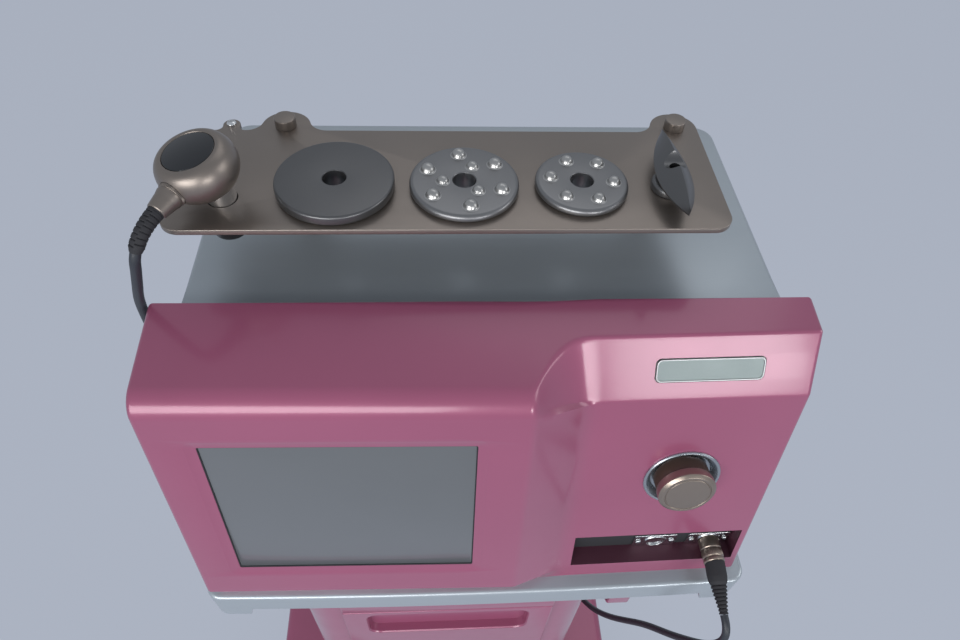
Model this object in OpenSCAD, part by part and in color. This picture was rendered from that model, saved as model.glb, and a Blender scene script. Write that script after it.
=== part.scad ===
// Facial toning machine: console with a screen pod and a tool plate, on a wheeled column.
// Millimetres. Origin on the floor under the column's centre line, +Z up, the screen faces -Y.

/* [Trolley] */
// Height of the tray's top above the floor
tray_h = 800; // [700:10:900]
// Width of the column
column_w = 306; // [290:2:330]
// Depth of the column behind its front panels
column_d = 290; // [270:2:310]
// Radius of the column's upright corners
column_r = 40; // [25:1:46]
// Height of the sloped shoulder under the cap plate
shoulder_h = 30; // [20:1:40]
// How far the shoulder widens on each side
shoulder_out = 6; // [3:1:10]
// Thickness of the silver cap plate
cap_t = 8; // [5:1:10]
// Width of the panels and the drawer in the column's front
panel_w = 206; // [196:2:216]
// How far the front panels stand proud of the column
panel_proud = 10; // [6:1:14]
// Height of the fixed strip above the drawer
strip_h = 27; // [22:1:40]
// Width of the wheeled base
base_w = 570; // [560:5:620]
// Depth of the wheeled base
base_d = 500; // [460:5:560]
// Corner radius of the wheeled base
base_r = 60; // [40:2:80]
// Height of the base cover
base_h = 40; // [34:1:50]
// Diameter of the caster wheels
wheel_d = 60; // [50:1:70]
// Width of the caster wheels
wheel_w = 22; // [16:1:28]
// Distance from a caster's swivel line to its wheel's centre
caster_trail = 20; // [14:1:24]

/* [Drawer] */
// Height of the drawer's front
drawer_h = 170; // [150:5:220]
// Depth of the drawer's box
drawer_d = 240; // [200:5:255]
// Width of the finger recess in the drawer's front
pull_w = 160; // [120:5:180]
// Height of the finger recess
pull_h = 56; // [44:1:70]
// Depth of the finger recess
pull_deep = 9; // [6:1:11]

/* [Tray] */
// Width of the tray under the console
tray_w = 498; // [490:2:540]
// How much deeper the tray is than the console
tray_more = 3; // [1:1:30]
// Width of the lead hook under the tray
hook_w = 21; // [18:1:24]
// How far the hook's tongue hangs down before it curls
hook_drop = 58; // [40:1:66]
// Height of the tray's front lip
lip_h = 28; // [22:1:36]
// Height of the deeper skirts at the tray's ends
skirt_h = 42; // [38:1:60]
// Width of the tray's end skirts
skirt_w = 35; // [28:1:45]
// Wall of the tray
tray_wall = 4; // [3:0.5:6]
// How far the tray's front edge bows forward in the middle
tray_bow = 4; // [2:0.5:6]

/* [Console] */
// Width of the front shell
console_w = 480; // [470:2:490]
// Depth of the whole console
console_d = 340; // [330:1:341]
// Height of the front shell
console_h = 273; // [266:1:280]
// Depth of the front shell at its top edge
shell_d = 120; // [118:1:130]
// Wall of the moulded front shell
shell_wall = 3.5; // [3:0.5:4.5]
// How far each half of the face turns back from the middle, in degrees
face_turn = 1; // [0.5:0.1:1.5]
// Lean of the screen pod's face, in degrees
pod_lean = 8.7; // [8:0.1:11]
// Radius of the bend at the pod's top
pod_bend_r = 20; // [12:1:26]
// Height of the pod's lower edge above the tray
chin_h = 23.5; // [18:0.5:28]
// Where the flat pod face ends, from the console's middle
pod_edge = 27; // [20:1:32]
// Where the set-back panel starts, from the console's middle
panel_start = 73.5; // [68:0.5:78]
// How far the set-back panel's foot is behind the pod's lower edge
foot_set = 15.5; // [12:0.5:22]
// Lean of the set-back panel, in degrees
panel_lean = 11.5; // [10:0.1:13]
// Height of the set-back panel
panel_h = 224; // [216:1:228]
// Lean of the band above the set-back panel, in degrees
band_lean = 29.3; // [24:0.1:32]
// Fall of the top towards the front, in degrees
top_fall = 7; // [4:0.5:9]
// Width of the silver rear cover
cover_w = 440; // [430:2:450]
// Height of the silver rear cover
cover_h = 267; // [262:1:270]
// Sheet of the rear cover
cover_t = 2; // [1.5:0.5:3]

/* [Screen] */
// Width of the screen glass
screen_w = 194; // [186:0.5:198]
// Height of the screen glass
screen_h = 160; // [150:1:164]
// Distance of the screen's left edge from the console's middle
screen_left = 204.5; // [202:0.5:206]
// Height of the screen's lower edge up the pod's face
screen_up = 37.5; // [34:0.5:46]
// Width of the shallow bevelled surround
surround = 8; // [4:0.5:9]

/* [Controls] */
// Distance of the knob from the console's middle
knob_x = 160.5; // [150:0.5:170]
// Height of the knob up the set-back panel
knob_up = 138.5; // [130:0.5:150]
// Diameter of the knob
knob_d = 46.8; // [40:0.2:50]
// How far the knob stands out
knob_out = 18; // [14:1:24]
// Diameter of the silver bezel round the knob
bezel_d = 63.2; // [62:0.2:68]
// Depth of the bezel's dish
dish = 5; // [4:0.5:7]
// Travel of the knob when pressed
press = 1.5; // [1:0.1:2]
// Width of the nameplate
plate_w = 80.5; // [70:0.5:90]
// Height of the nameplate
plate_h = 18; // [14:0.5:22]
// Height of the nameplate's middle up the band
plate_up = 24; // [20:0.5:26]

/* [Sockets] */
// Width of the socket recess
recess_w = 151; // [146:1:152]
// Height of the recess
recess_h = 42; // [38:1:46]
// Wall of the moulded sleeve round the recess
sleeve_t = 2.5; // [1.5:0.5:2.5]
// Depth of the recess behind the foot of the set-back panel
recess_deep = 20; // [18:1:26]
// Distance between the two sockets
socket_gap = 50.5; // [46:0.5:54]
// Distance of the lead's socket from the console's middle
socket_x = 212; // [206:0.5:212]
// Height of the sockets above the tray
socket_z = 27.5; // [26:0.5:30]
// Width of a socket's flange
flange_w = 40; // [36:0.5:42]
// Height of a socket's flange
flange_h = 22; // [21:0.5:24]
// Diameter of the plug's shell
plug_d = 19; // [16:0.5:20]

/* [Tool plate] */
// Length of the tool plate
tool_plate_w = 391; // [384:1:400]
// Left end of the tool plate, from the console's middle
tool_plate_left = 222; // [216:1:226]
// Depth of the tool plate
tool_plate_d = 110.5; // [106:0.5:116]
// Distance of the plate's front edge behind the pod's lower edge
tool_plate_y = 135.5; // [134:0.5:140]
// Thickness of the tool plate
tool_plate_t = 4.5; // [3:0.5:6]
// Height of the plate's top above the rear cover
tool_plate_up = 60; // [50:1:70]
// Corner radius of the tool plate
tool_plate_r = 14; // [8:1:18]
// Radius of the ears at the plate's back
ear_r = 18.5; // [16:0.5:20]
// Diameter of the two posts
post_d = 14; // [10:1:18]
// Diameter of the hole that each tool's spigot stands in
tool_hole_d = 20.6; // [20:0.2:22]
// Running clearance round spigots, heads and runners
gap = 0.3; // [0.3:0.05:0.5]

/* [Tools] */
// Diameter of the plain disc
plain_d = 83.2; // [76:0.2:86]
// Thickness of the plain disc
plain_t = 9; // [6:0.5:12]
// Diameter of the nine-bead disc
nine_d = 77.6; // [72:0.2:80]
// Diameter of the six-bead disc
six_d = 66.8; // [60:0.2:72]
// Thickness of the bead discs
bead_disc_t = 7; // [5:0.5:9]
// Radius of the outer beads
bead_r = 5; // [4:0.2:5.6]
// Radius of the nine-bead disc's inner beads
small_bead_r = 4.2; // [3.4:0.2:4.6]
// Diameter of the hole through the discs
disc_hole_d = 16.4; // [14:0.2:17]
// Length of the boat-shaped blade
blade_len = 91; // [80:1:94]
// Width of the boat-shaped blade
blade_w = 25; // [20:0.5:28]
// Height of the boat-shaped blade above its base
blade_h = 20; // [15:1:24]

/* [Handset] */
// Diameter of the handset's round body
ball_d = 54.4; // [50:0.2:58]
// Diameter of the handset's display
lens_d = 35.2; // [32:0.2:37]
// Wall of the handset's shell
ball_wall = 2; // [1.5:0.5:3]
// Diameter of the dock cup under the plate
cup_d = 25; // [24:0.5:30]
// Depth of the dock cup below the plate's top
cup_deep = 30; // [26:1:34]
// Diameter of the handset's lead
lead_d = 7; // [6:0.5:7.5]

/* [Hidden] */
$fn = 48;
eps = 0.01;
// console's place on the trolley: shifted to the right, centred front to back
console_x = 30;
console_y = -console_d / 2;
tray_y = 2;
tray_d = console_d + tray_more;
tray_r = 14;
// trolley heights
cap_z = tray_h - lip_h - cap_t;
caster_h = wheel_d / 2 + 45;
base_top = caster_h + base_h;
column_y = console_y + 16;
plate_t = 4;
base_wall = 4;
stem_r = 6;
boss_r = stem_r + 6;
boss_h = 14;
crown_r = 22;
axle_r = 4;
fork_t = 3;
hook_x = 139;
hook_y = 10;
run = 0.05;
caster_x = base_w / 2 - 48;
caster_y = base_d / 2 - caster_trail - wheel_d / 2 - 6;
column_wall = 3;
seam = 1;
drawer_top = tray_h - lip_h - strip_h - seam;
drawer_z = drawer_top - drawer_h;
frame_x = panel_w / 2 - 3;
frame_t = 2;
rail_t = 12;
rail_h = 36;
runner_t = 4;
box_w = 2 * (frame_x - rail_t - gap);
box_t = 1.5;
box_h = drawer_h - 30;
box_z = drawer_z + 6;
runner_z = box_z + 50;
runner_h = rail_h - 16;
// the finger recess under the drawer front's top edge, and the slot behind it
pull_top = drawer_top - 8;
slot_side = 16;
slot_z = [pull_top - 20, pull_top - 6];
// the hatch in the column's back and its vents
hatch_x = column_w / 2 - column_r;
hatch_z = [base_top + 30, cap_z - shoulder_h - 20];
vents = 10;
vent_w = 100;
vent_h = 6;
vent_pitch = 14;
vent_z = base_top + 120;
front_y = column_y - panel_proud;
panel_t = panel_proud + 6;
// console sizes that follow from the ones above
face_top = [foot_set + panel_h * tan(panel_lean), panel_h];
top_edge = [shell_d, console_h];
top_slope = top_edge - 100 * [1, tan(top_fall)];
pod_top = meet([0, chin_h], [0, chin_h] + [sin(pod_lean), cos(pod_lean)], top_edge, top_slope);
band_top = meet(face_top, face_top + [sin(band_lean), cos(band_lean)], top_edge, top_slope);
floor_t = 2;
// screws that hold the console's floor on the tray
pan_screws = [for (x = [-150, 150], y = [60, 300]) [x, y]];
pan_screw_r = 2.6;
// the ramp from the pod to the panel is drawn through these shares of its width
ramp_steps = [0, 0.12, 0.28, 0.5, 0.75, 1];
surround_deep = 1.2;
seat_deep = 0.8;
nameplate_t = 1.8;
socket_y = foot_set + recess_deep;
recess_x = socket_x + flange_w / 2 + 1 - recess_w;
recess_z = socket_z - flange_h / 2 - 0.4;
bore_r = plug_d / 2 - 1.5;
barrel_r = bore_r + 1.5;
barrel_len = 20;
screw_at = flange_w / 2 - 4.2;
flange_t = 2;
way_x = cover_w / 2 - 12;
way_z = cover_h - 12;
// slots in each side of the rear cover
slots = 8;
slot_y = 200;
slot_w = 5;
slot_pitch = 12;
slot_low = 60;
slot_h = 50;
boot_len = 43;
boot_drop = 15;
plug_out = 26;
plate_top = cover_h + tool_plate_up;
plate_back = tool_plate_y + tool_plate_d;
ear_y = plate_back + 5.5;
ears = [-151.5, tool_plate_w - tool_plate_left - ear_r];
small_ear = [-192.5, plate_back + 7, 6.5];
tool_y = tool_plate_y + 43.5;
tools_x = [-108, -17.5, 66.2, 131];
dock = [-184, 168];
spigot_r = tool_hole_d / 2 - gap;
spigot_len = tool_plate_t + 4;
stud_r = 3;
stud_up = 4.5;
nut_r = 8;
nut_h = 8;
screw_r = 1.6;
screw_len = 6;
screw_head_r = 3.6;
screw_head_h = 2.4;
cup_wall = 2;
cup_floor = 2.5;
// the blade's keel and deck are arcs of two large circles, cut by a saddle and a bore
blade_foot_r = 14;
blade_foot_h = 6;
keel_z = 5;
keel_r = 130;
deck_r = 150;
saddle_r = 9;
saddle_z = keel_z + blade_h + 2;
blade_bore_r = 4.5;
// the handset's body leans away from its upright spigot
ball_at = [-192, 164, plate_top + 30];
ball_tilt = [5.4, -11.4, 0];
neck_turn = -28.6;
neck_dip = 10;
neck_from = 24.2;
neck_len = 17.8;
neck_r = 9.2;
neck_low_r = 6.4;
neck_stub_r = 6;
collar_t = 3.6;
relief_r = 5.5;
relief_len = 24;
relief_dip = 28.5;
relief_turn = -30;
neck_way = [sin(neck_turn) * cos(neck_dip), -cos(neck_turn) * cos(neck_dip), -sin(neck_dip)];
neck_end = ball_at + (neck_from + neck_len) * neck_way;
ball_top = 13.2;
ball_low = 20.2;
ball_rim = 1.3;
lens_t = 1.2;
head_up = 16;
// fan and mains inlet on the rear panel
fan_at = [-120, 150];
fan_size = 60;
fan_deep = 18;
inlet_at = [130, 60];
inlet_w = 50;
inlet_h = 26;
inlet_deep = 24;
hub_r = 13;
pin_r = 2;
blades = 7;
encoder_w = 28;
encoder_deep = 14;
encoder_neck_r = 3.8;
shaft_r = 3;
plunger_r = 4.7;
plunger_t = 2.5;
// boards and power supply inside the console
rf_at = [-120, console_d - 125];
rf_size = [150, 110, 1.6];
rf_z = 16;
rf_leg = 8;
coil_r = 9;
coil_h = 26;
control_at = [-90, shell_d - 23];
control_size = [140, 1.6, 90];
control_z = 40;
stand = 8;
supply_at = [40, console_d - 150];
supply_size = [150, 100, 42];
supply_slots = 10;
// route of the handset's lead, from the plug's boot to the handset, measured from the console's foot
lead_route = [
    [212.5, -28.4, 16.4], [213, -35.4, 14], [213.3, -41, 8.6], [213.2, -43.8, 0.4], [212.4, -44, -12],
    [209.6, -39.5, -34], [204.5, -29, -62], [196.5, -11, -102], [187, 12, -150], [177, 32, -200],
    [168, 56, -258], [159, 92, -322], [151, 142, -378], [144, 198, -424], [135, 254, -458],
    [121, 306, -480], [94, 338, -492], [52, 353, -498], [0, 357, -500], [-52, 352, -494], [-102, 344, -474],
    [-148, 330, -440], [-190, 308, -390], [-224, 280, -326], [-248, 252, -254], [-262, 224, -176],
    [-268, 198, -96], [-268, 176, -16], [-266, 158, 62], [-262, 146, 126], [-256, 136, 186],
    [-250, 127.5, 238], [-247.6, 124.3, 256], [-244.5, 120.5, 272], [-240.4, 116.4, 286], [-235.6, 112.2, 299],
    [-231.4, 109, 311], [-227.8, 106.8, 322], [-225, 106.4, 331.4], [-223.3, 108.2, 336.1]
];

// ---- shapes shared by several pieces ----

// both lines' crossing point, line a-b with line c-d
function meet(a, b, c, d) = a + (b - a) * cross(c - a, d - c) / cross(b - a, d - c);
// a point moved to the left of the way from p to q
function beside(p, q, t) = t * [p[1] - q[1], q[0] - p[0]] / norm(q - p);
// an outline with each side moved inwards by its own distance
function inset(pts, d) = let(n = len(pts)) [
    for (i = [0:n - 1]) let(
        h = (i + n - 1) % n, j = (i + 1) % n,
        a = beside(pts[h], pts[i], d[h]), b = beside(pts[i], pts[j], d[i]))
        meet(pts[h] + a, pts[i] + a, pts[i] + b, pts[j] + b)
];
// the points of a round corner of radius r at b, between a and c
function corner(a, b, c, r, n = 8) = let(
    u = (a - b) / norm(a - b), v = (c - b) / norm(c - b), half = acos(u * v) / 2,
    m = b + (u + v) / norm(u + v) * r / sin(half),
    s = b + u * r / tan(half) - m, e = b + v * r / tan(half) - m,
    turn = atan2(cross(s, e), s * e))
    [for (k = [0:n]) m + [s[0] * cos(turn * k / n) - s[1] * sin(turn * k / n),
                          s[0] * sin(turn * k / n) + s[1] * cos(turn * k / n)]];
function rounded(pts, r) = let(n = len(pts)) [
    for (i = [0:n - 1]) each r[i] > 0 ? corner(pts[(i + n - 1) % n], pts[i], pts[(i + 1) % n], r[i]) : [pts[i]]
];

module at_console() { translate([console_x, console_y, tray_h]) children(); }
// a y-z outline drawn out from x0 to x1
module prism_x(x0, x1, pts) {
    translate([x0, 0, 0]) rotate([90, 0, 90]) linear_extrude(x1 - x0) polygon(pts);
}
module plan(w, d, r) {
    square([w, d - 2 * r], center = true);
    square([w - 2 * r, d], center = true);
    for (x = [-1, 1], y = [-1, 1]) translate([x * (w / 2 - r), y * (d / 2 - r)]) circle(r);
}
module slab(w, d, h, r) { linear_extrude(h) plan(w, d, r); }
// a closed skin over equal rings of points
module skin(rings) {
    n = len(rings);
    m = len(rings[0]);
    sides = [
        for (i = [0:n - 2], k = [0:m - 1]) let(j = (k + 1) % m)
            [i * m + k, (i + 1) * m + k, (i + 1) * m + j, i * m + j]
    ];
    ends = [[for (k = [0:m - 1]) k], [for (k = [m - 1:-1:0]) (n - 1) * m + k]];
    polyhedron([for (ring = rings, p = ring) p], concat(sides, ends));
}
module box(x, y, z) { translate([x[0], y[0], z[0]]) cube([x[1] - x[0], y[1] - y[0], z[1] - z[0]]); }
// the planes of the pod's face, the set-back panel and the band, with +Z out of the face
module on_pod() {
    rotate([0, 0, -face_turn]) translate([0, 0, chin_h]) rotate([90 - pod_lean, 0, 0]) children();
}
module on_panel() {
    rotate([0, 0, face_turn]) translate([0, foot_set, 0]) rotate([90 - panel_lean, 0, 0]) children();
}
module on_band() {
    rotate([0, 0, face_turn]) translate([0, face_top[0], face_top[1]])
        rotate([90 - band_lean, 0, 0]) children();
}
module at_knob() { at_console() on_panel() translate([knob_x, knob_up, 0]) children(); }

// ---- trolley ----

module base_cover() {
    x = frame_x + frame_t + gap;
    w = 2 * base_wall;
    h = base_h - plate_t;
    color("#a5627d") translate([0, 0, caster_h + plate_t]) difference() {
        slab(base_w, base_d, h, base_r);
        translate([0, 0, -eps]) slab(base_w - w, base_d - w, h - base_wall, base_r - base_wall);
        // the column's frame stands through the cover
        box([-x, x], [column_y + 5, column_y + column_d - 5], [-1, base_h]);
    }
}
module caster_spots() {
    for (x = [-1, 1], y = [-1, 1]) translate([x * caster_x, y * caster_y, 0]) children();
}
module base_plate() {
    color("#3c3e42") translate([0, 0, caster_h]) difference() {
        union() {
            slab(base_w - 10, base_d - 10, plate_t, base_r - 5);
            caster_spots() cylinder(r = boss_r, h = plate_t + boss_h);
        }
        caster_spots() translate([0, 0, -1]) cylinder(r = stem_r + run, h = plate_t + boss_h + 2);
    }
}
module at_caster(i) {
    translate([[-1, 1, -1, 1][i - 1] * caster_x, [-1, -1, 1, 1][i - 1] * caster_y, 0]) children();
}
module caster_fork(i) {
    cheek = wheel_w / 2 + 1;
    crown = wheel_d + 6;
    axle_z = wheel_d / 2;
    cheek_side = [
        [-12, crown], [caster_trail - 9, axle_z - 4], [caster_trail + 9, axle_z - 4], [18, crown]
    ];
    color("#8d9095") at_caster(i) {
        translate([0, 0, crown]) cylinder(r = crown_r, h = caster_h - gap - crown);
        translate([0, 0, caster_h - gap - 1]) cylinder(r = stem_r, h = plate_t + boss_h - 2);
        box([-cheek - fork_t, cheek + fork_t], [-12, 18], [crown - 1, crown + fork_t]);
        for (x = [-cheek - fork_t, cheek]) translate([x, 0, 0]) {
            rotate([90, 0, 90]) linear_extrude(fork_t) polygon(cheek_side);
            translate([0, caster_trail, axle_z]) rotate([0, 90, 0]) cylinder(r = 10, h = fork_t);
        }
        translate([-cheek - 1, caster_trail, axle_z]) rotate([0, 90, 0])
            cylinder(r = axle_r, h = 2 * cheek + 2);
    }
}
module caster_wheel(i) {
    r = wheel_d / 2;
    w = wheel_w / 2;
    tread = rounded([[axle_r + run, -w], [r, -w], [r, w], [axle_r + run, w]], [0, 5, 5, 0]);
    color("#6f7277") at_caster(i) translate([0, caster_trail, r]) rotate([0, 90, 0])
        rotate_extrude() polygon(tread);
}
module column_form(low, high, wall) {
    w = column_w - 2 * wall;
    d = column_d - 2 * wall;
    r = column_r - wall;
    knee = cap_z - shoulder_h;
    translate([0, column_y + column_d / 2, 0]) {
        translate([0, 0, low]) slab(w, d, knee - low, r);
        hull() {
            translate([0, 0, knee - eps]) slab(w, d, eps, r, $fn = 32);
            translate([0, 0, high - eps])
                slab(w - 2 * shoulder_out, d - 2 * shoulder_out, eps, r - shoulder_out, $fn = 32);
        }
    }
}
module column_shell() {
    back = column_y + column_d;
    color("#a5627d") difference() {
        column_form(base_top, cap_z, 0);
        column_form(base_top - 1, cap_z + 1, column_wall);
        box([-panel_w / 2 - seam, panel_w / 2 + seam], [column_y - 1, column_y + column_r],
            [base_top - 1, tray_h]);
        box([-hatch_x, hatch_x], [back - column_r, back + 1], hatch_z);
    }
}
module column_frame() {
    front = front_y + panel_t;
    back = column_y + column_d - 20;
    flange = 16;
    color("#3c3e42") {
        for (s = [0, 1]) mirror([s, 0, 0]) {
            box([frame_x, frame_x + frame_t], [front, back], [caster_h + plate_t, cap_z]);
            // the flange under the cap plate
            box([frame_x, frame_x + frame_t + flange], [front + 10, back], [cap_z - 3, cap_z]);
        }
        box([-frame_x - eps, frame_x + eps], [back - frame_t, back], [drawer_z - 40, cap_z]);
        box([-frame_x - eps, frame_x + eps], [front + 20, back], [base_top + 60, base_top + 60 + frame_t]);
    }
}
module column_cap() {
    color("#b9bec2") translate([0, column_y + column_d / 2, cap_z])
        slab(column_w - 2 * shoulder_out, column_d - 2 * shoulder_out, cap_t, column_r - shoulder_out);
}
module column_back() {
    x = hatch_x - gap;
    back = column_y + column_d;
    color("#8f5a70") difference() {
        box([-x, x], [back - column_wall, back], [hatch_z[0] + gap, hatch_z[1] - gap]);
        for (k = [0:vents - 1]) let(z = vent_z + vent_pitch * k)
            box([-vent_w / 2, vent_w / 2], [back - 10, back + 1], [z, z + vent_h]);
    }
}
module front_panels() {
    color("#ad6884") {
        box([-panel_w / 2, panel_w / 2], [front_y, front_y + panel_t], [drawer_top + seam, tray_h - lip_h]);
        box([-panel_w / 2, panel_w / 2], [front_y, front_y + panel_t], [base_top, drawer_z - seam]);
    }
}
module drawer_front() {
    color("#ad6884") difference() {
        box([-panel_w / 2, panel_w / 2], [front_y, front_y + panel_t], [drawer_z, drawer_top]);
        translate([0, front_y + pull_deep, pull_top - pull_h / 2]) rotate([90, 0, 0])
            slab(pull_w, pull_h, pull_deep + 1, 12);
        box([-pull_w / 2 + slot_side, pull_w / 2 - slot_side], [front_y + 2, front_y + panel_t + 1], slot_z);
    }
}
module drawer_box() {
    front = front_y + panel_t;
    back = front + drawer_d;
    x = box_w / 2;
    finger_x = pull_w / 2 - slot_side + 2;
    color("#55585c") {
        difference() {
            box([-x, x], [front, back], [box_z, box_z + box_h]);
            box([-x + box_t, x - box_t], [front + box_t, back - box_t], [box_z + box_t, box_z + box_h + 1]);
            // room for the fingers behind the recess
            box([-finger_x, finger_x], [front_y, front + box_t + 1], [slot_z[0] - 4, drawer_top]);
        }
        for (s = [0, 1]) mirror([s, 0, 0])
            box([x, x + runner_t], [front + 4, back], [runner_z, runner_z + runner_h]);
    }
}
module slide_rails() {
    front = front_y + panel_t;
    x = frame_x - rail_t;
    color("#9a9da1") for (s = [0, 1]) mirror([s, 0, 0]) difference() {
        box([x, frame_x], [front + 6, front + drawer_d + 4], [runner_z - 8, runner_z - 8 + rail_h]);
        box([x - 1, x + runner_t + 2 * gap], [front_y, front + drawer_d + 1],
            [runner_z - gap, runner_z + runner_h + gap]);
    }
}

// ---- tray and hook ----

// the tray's outline: round back corners and a front edge on a large arc
module tray_outline(t) {
    bow_r = (pow(tray_w / 2, 2) + tray_bow * tray_bow) / (2 * tray_bow);
    intersection() {
        translate([0, tray_y + tray_d / 2]) plan(tray_w - 2 * t, tray_d - 2 * t, tray_r);
        translate([0, tray_y + t + bow_r]) circle(bow_r, $fn = 360);
    }
}
module tray() {
    // ribs under the tray: one beside each skirt and two over the column's sides
    rib_x = tray_w / 2 - skirt_w + tray_wall / 2;
    ribs = [-rib_x, rib_x, -90 - console_x, 90 - console_x];
    color("#b9bec2") at_console() difference() {
        translate([0, 0, -skirt_h]) linear_extrude(skirt_h) tray_outline(0);
        translate([0, 0, -skirt_h - 1]) linear_extrude(skirt_h + 1 - tray_wall) difference() {
            tray_outline(tray_wall);
            for (x = ribs) translate([x, tray_d / 2]) square([tray_wall, tray_d], center = true);
        }
        // between the skirts the lip is shallower
        box([-tray_w / 2 + skirt_w, tray_w / 2 - skirt_w], [-10, tray_d + 20], [-skirt_h - 1, -lip_h]);
        for (p = pan_screws) translate([p[0], p[1], -5]) cylinder(r = pan_screw_r, h = 10);
    }
}
// a J-shaped hook for a coiled lead: its tongue hangs from the tray and its cradle opens behind it
module cable_hook() {
    r = hook_w / 2;
    // radius of the curl, the hook's thickness and the height of its upturned end
    c = hook_w * 0.57;
    t = 4;
    up = 8;
    profile = concat(
        [[0, 0], [0, -hook_drop]],
        [for (a = [195:15:345]) [c * (1 + cos(a)), -hook_drop + c * sin(a)]],
        [[2 * c, -hook_drop], [2 * c, -hook_drop + up], [2 * c - t, -hook_drop + up]],
        [for (a = [360:-15:180]) [c + (c - t) * cos(a), -hook_drop + (c - t) * sin(a)]],
        [[t, 0]]);
    color("#a5627d") at_console() translate([hook_x, hook_y, -tray_wall]) intersection() {
        prism_x(-r, r, profile);
        translate([0, 2 * hook_w, 0]) rotate([90, 0, 0]) linear_extrude(4 * hook_w) union() {
            translate([-r, -hook_drop - r / 5]) square([hook_w, hook_drop + r / 5]);
            translate([0, -hook_drop - r / 5]) circle(r);
        }
    }
}

// ---- console ----

// outlines of the pod and of the set-back side with equal counts of points, each side moved in by d
function pod_outline(d) = rounded(inset(
    [[foot_set, 0], [shell_d + 20, 0], top_edge + 20 * [1, tan(top_fall)], pod_top, [0, chin_h]], d),
    [0, 0, 0, pod_bend_r - max(d[3], 0), 0]);
function panel_outline(d) = let(
    low = [foot_set + chin_h * tan(panel_lean), chin_h],
    o = inset([[foot_set, 0], [shell_d + 20, 0], top_edge + 20 * [1, tan(top_fall)], band_top, face_top], d))
    [o[0], o[1], o[2], for (k = [0:8]) o[3] + (o[4] - o[3]) * k / 8, o[0] + (o[4] - o[0]) * chin_h / panel_h];
// how far each outline point has gone from the pod to the panel, s of the way across the ramp:
// the chin goes evenly and the band's top edge swings back first
function ramp(s, k) = k < 3 ? s : 1 - pow(1 - s, 1 + 1.6 * max(0, 11 - k) / 8);
function shell_ring(x, s, d) = let(a = pod_outline(d), b = panel_outline(d), t = [x * sin(face_turn), 0]) [
    for (k = [0:len(a) - 1]) let(f = ramp(s, k), p = (a[k] - t) * (1 - f) + (b[k] + t) * f)
        [x, p[0] / cos(face_turn), p[1]]
];
// the front shell's closed form, with its walls moved in by d and its ends at half the width
module shell_form(d, half, lap) {
    x0 = pod_edge - lap;
    x1 = panel_start - lap;
    skin(concat(
        [shell_ring(-half, 0, d)],
        [for (s = ramp_steps) shell_ring(x0 + (x1 - x0) * s, s, d)],
        [shell_ring(half, 1, d)]));
}
// the recess for the sockets, grown by d on its four sides
module recess_box(d, y) {
    rotate([0, 0, face_turn])
        box([recess_x - d, recess_x + recess_w + d], y, [recess_z - d, recess_z + recess_h + d]);
}
module front_shell() {
    half = console_w / 2;
    high = console_h + 10;
    color("#ad6884") at_console() difference() {
        shell_form([0, 0, 0, 0, 0], half, 0);
        box([-half - 1, half + 1], [shell_d, shell_d + 60], [-1, high]);
        difference() {
            intersection() {
                shell_form([-5, 0, shell_wall, shell_wall, shell_wall], half - shell_wall, shell_wall);
                box([-half, half], [-20, shell_d - shell_wall], [-10, high]);
            }
            recess_box(sleeve_t, [0, socket_y]);
        }
        recess_box(0, [-20, socket_y + 1]);
        // rear way through to the cover
        box([-way_x, way_x], [shell_d - 10, shell_d + 1], [-1, way_z]);
        on_pod() translate([-screen_left, screen_up, -20]) cube([screen_w, screen_h, 40]);
        on_pod() translate([-screen_left - surround, screen_up - surround, -surround_deep])
            cube([screen_w + 2 * surround, screen_h + 2 * surround, 20]);
        on_panel() translate([knob_x, knob_up, -20]) cylinder(r = bezel_d / 2 - 3, h = 40);
        on_band() translate([knob_x - plate_w / 2, plate_up - plate_h / 2, -seat_deep])
            cube([plate_w, plate_h, 5]);
    }
}
module screen_glass() {
    color("#70767c") at_console() on_pod() translate([-screen_left + gap, screen_up + gap, -shell_wall])
        cube([screen_w - 2 * gap, screen_h - 2 * gap, shell_wall - 1.6]);
}
module lcd_module() {
    color("#2b2d31") at_console() on_pod() translate([-screen_left - 6, screen_up - 5, -shell_wall - 9])
        cube([screen_w + 12, screen_h + 10, 9]);
}
module nameplate() {
    color("#a9adb1") at_console() on_band() translate([knob_x, plate_up, -seat_deep])
        slab(plate_w - 2 * gap, plate_h - 2 * gap, nameplate_t, 3.5);
}
module knob_bezel() {
    r = bezel_d / 2;
    hole = encoder_neck_r + 0.1;
    color("#c3c7ca") at_knob() rotate_extrude($fn = 72) polygon([
        [hole, -dish - 3], [r - 3 - gap, -dish - 3], [r - 3 - gap, 0], [r, 0], [r, 1.2], [r - 0.8, 2],
        [r - 2, 2], [knob_d / 2 + 1.4, -dish], [hole, -dish]]);
}
module knob_skirt() {
    r = knob_d / 2 - 1;
    low = -dish + press + gap;
    color("#4a3a36") at_knob() rotate_extrude($fn = 72) polygon([
        [0, -dish - 8.2], [shaft_r, -dish - 8.2], [shaft_r, low], [r, low], [r, knob_out - 9],
        [0, knob_out - 9]]);
}
module knob_cap() {
    r = knob_d / 2;
    color("#998f86") at_knob() rotate_extrude($fn = 72) polygon([
        [0, knob_out - 9], [r - 0.6, knob_out - 9], [r, knob_out - 8.4], [r, knob_out - 2], [r - 2, knob_out],
        [r - 4.2, knob_out], [r - 4.6, knob_out - 0.6], [r - 5.2, knob_out - 0.6], [r - 5.6, knob_out],
        [0, knob_out]]);
}
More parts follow.
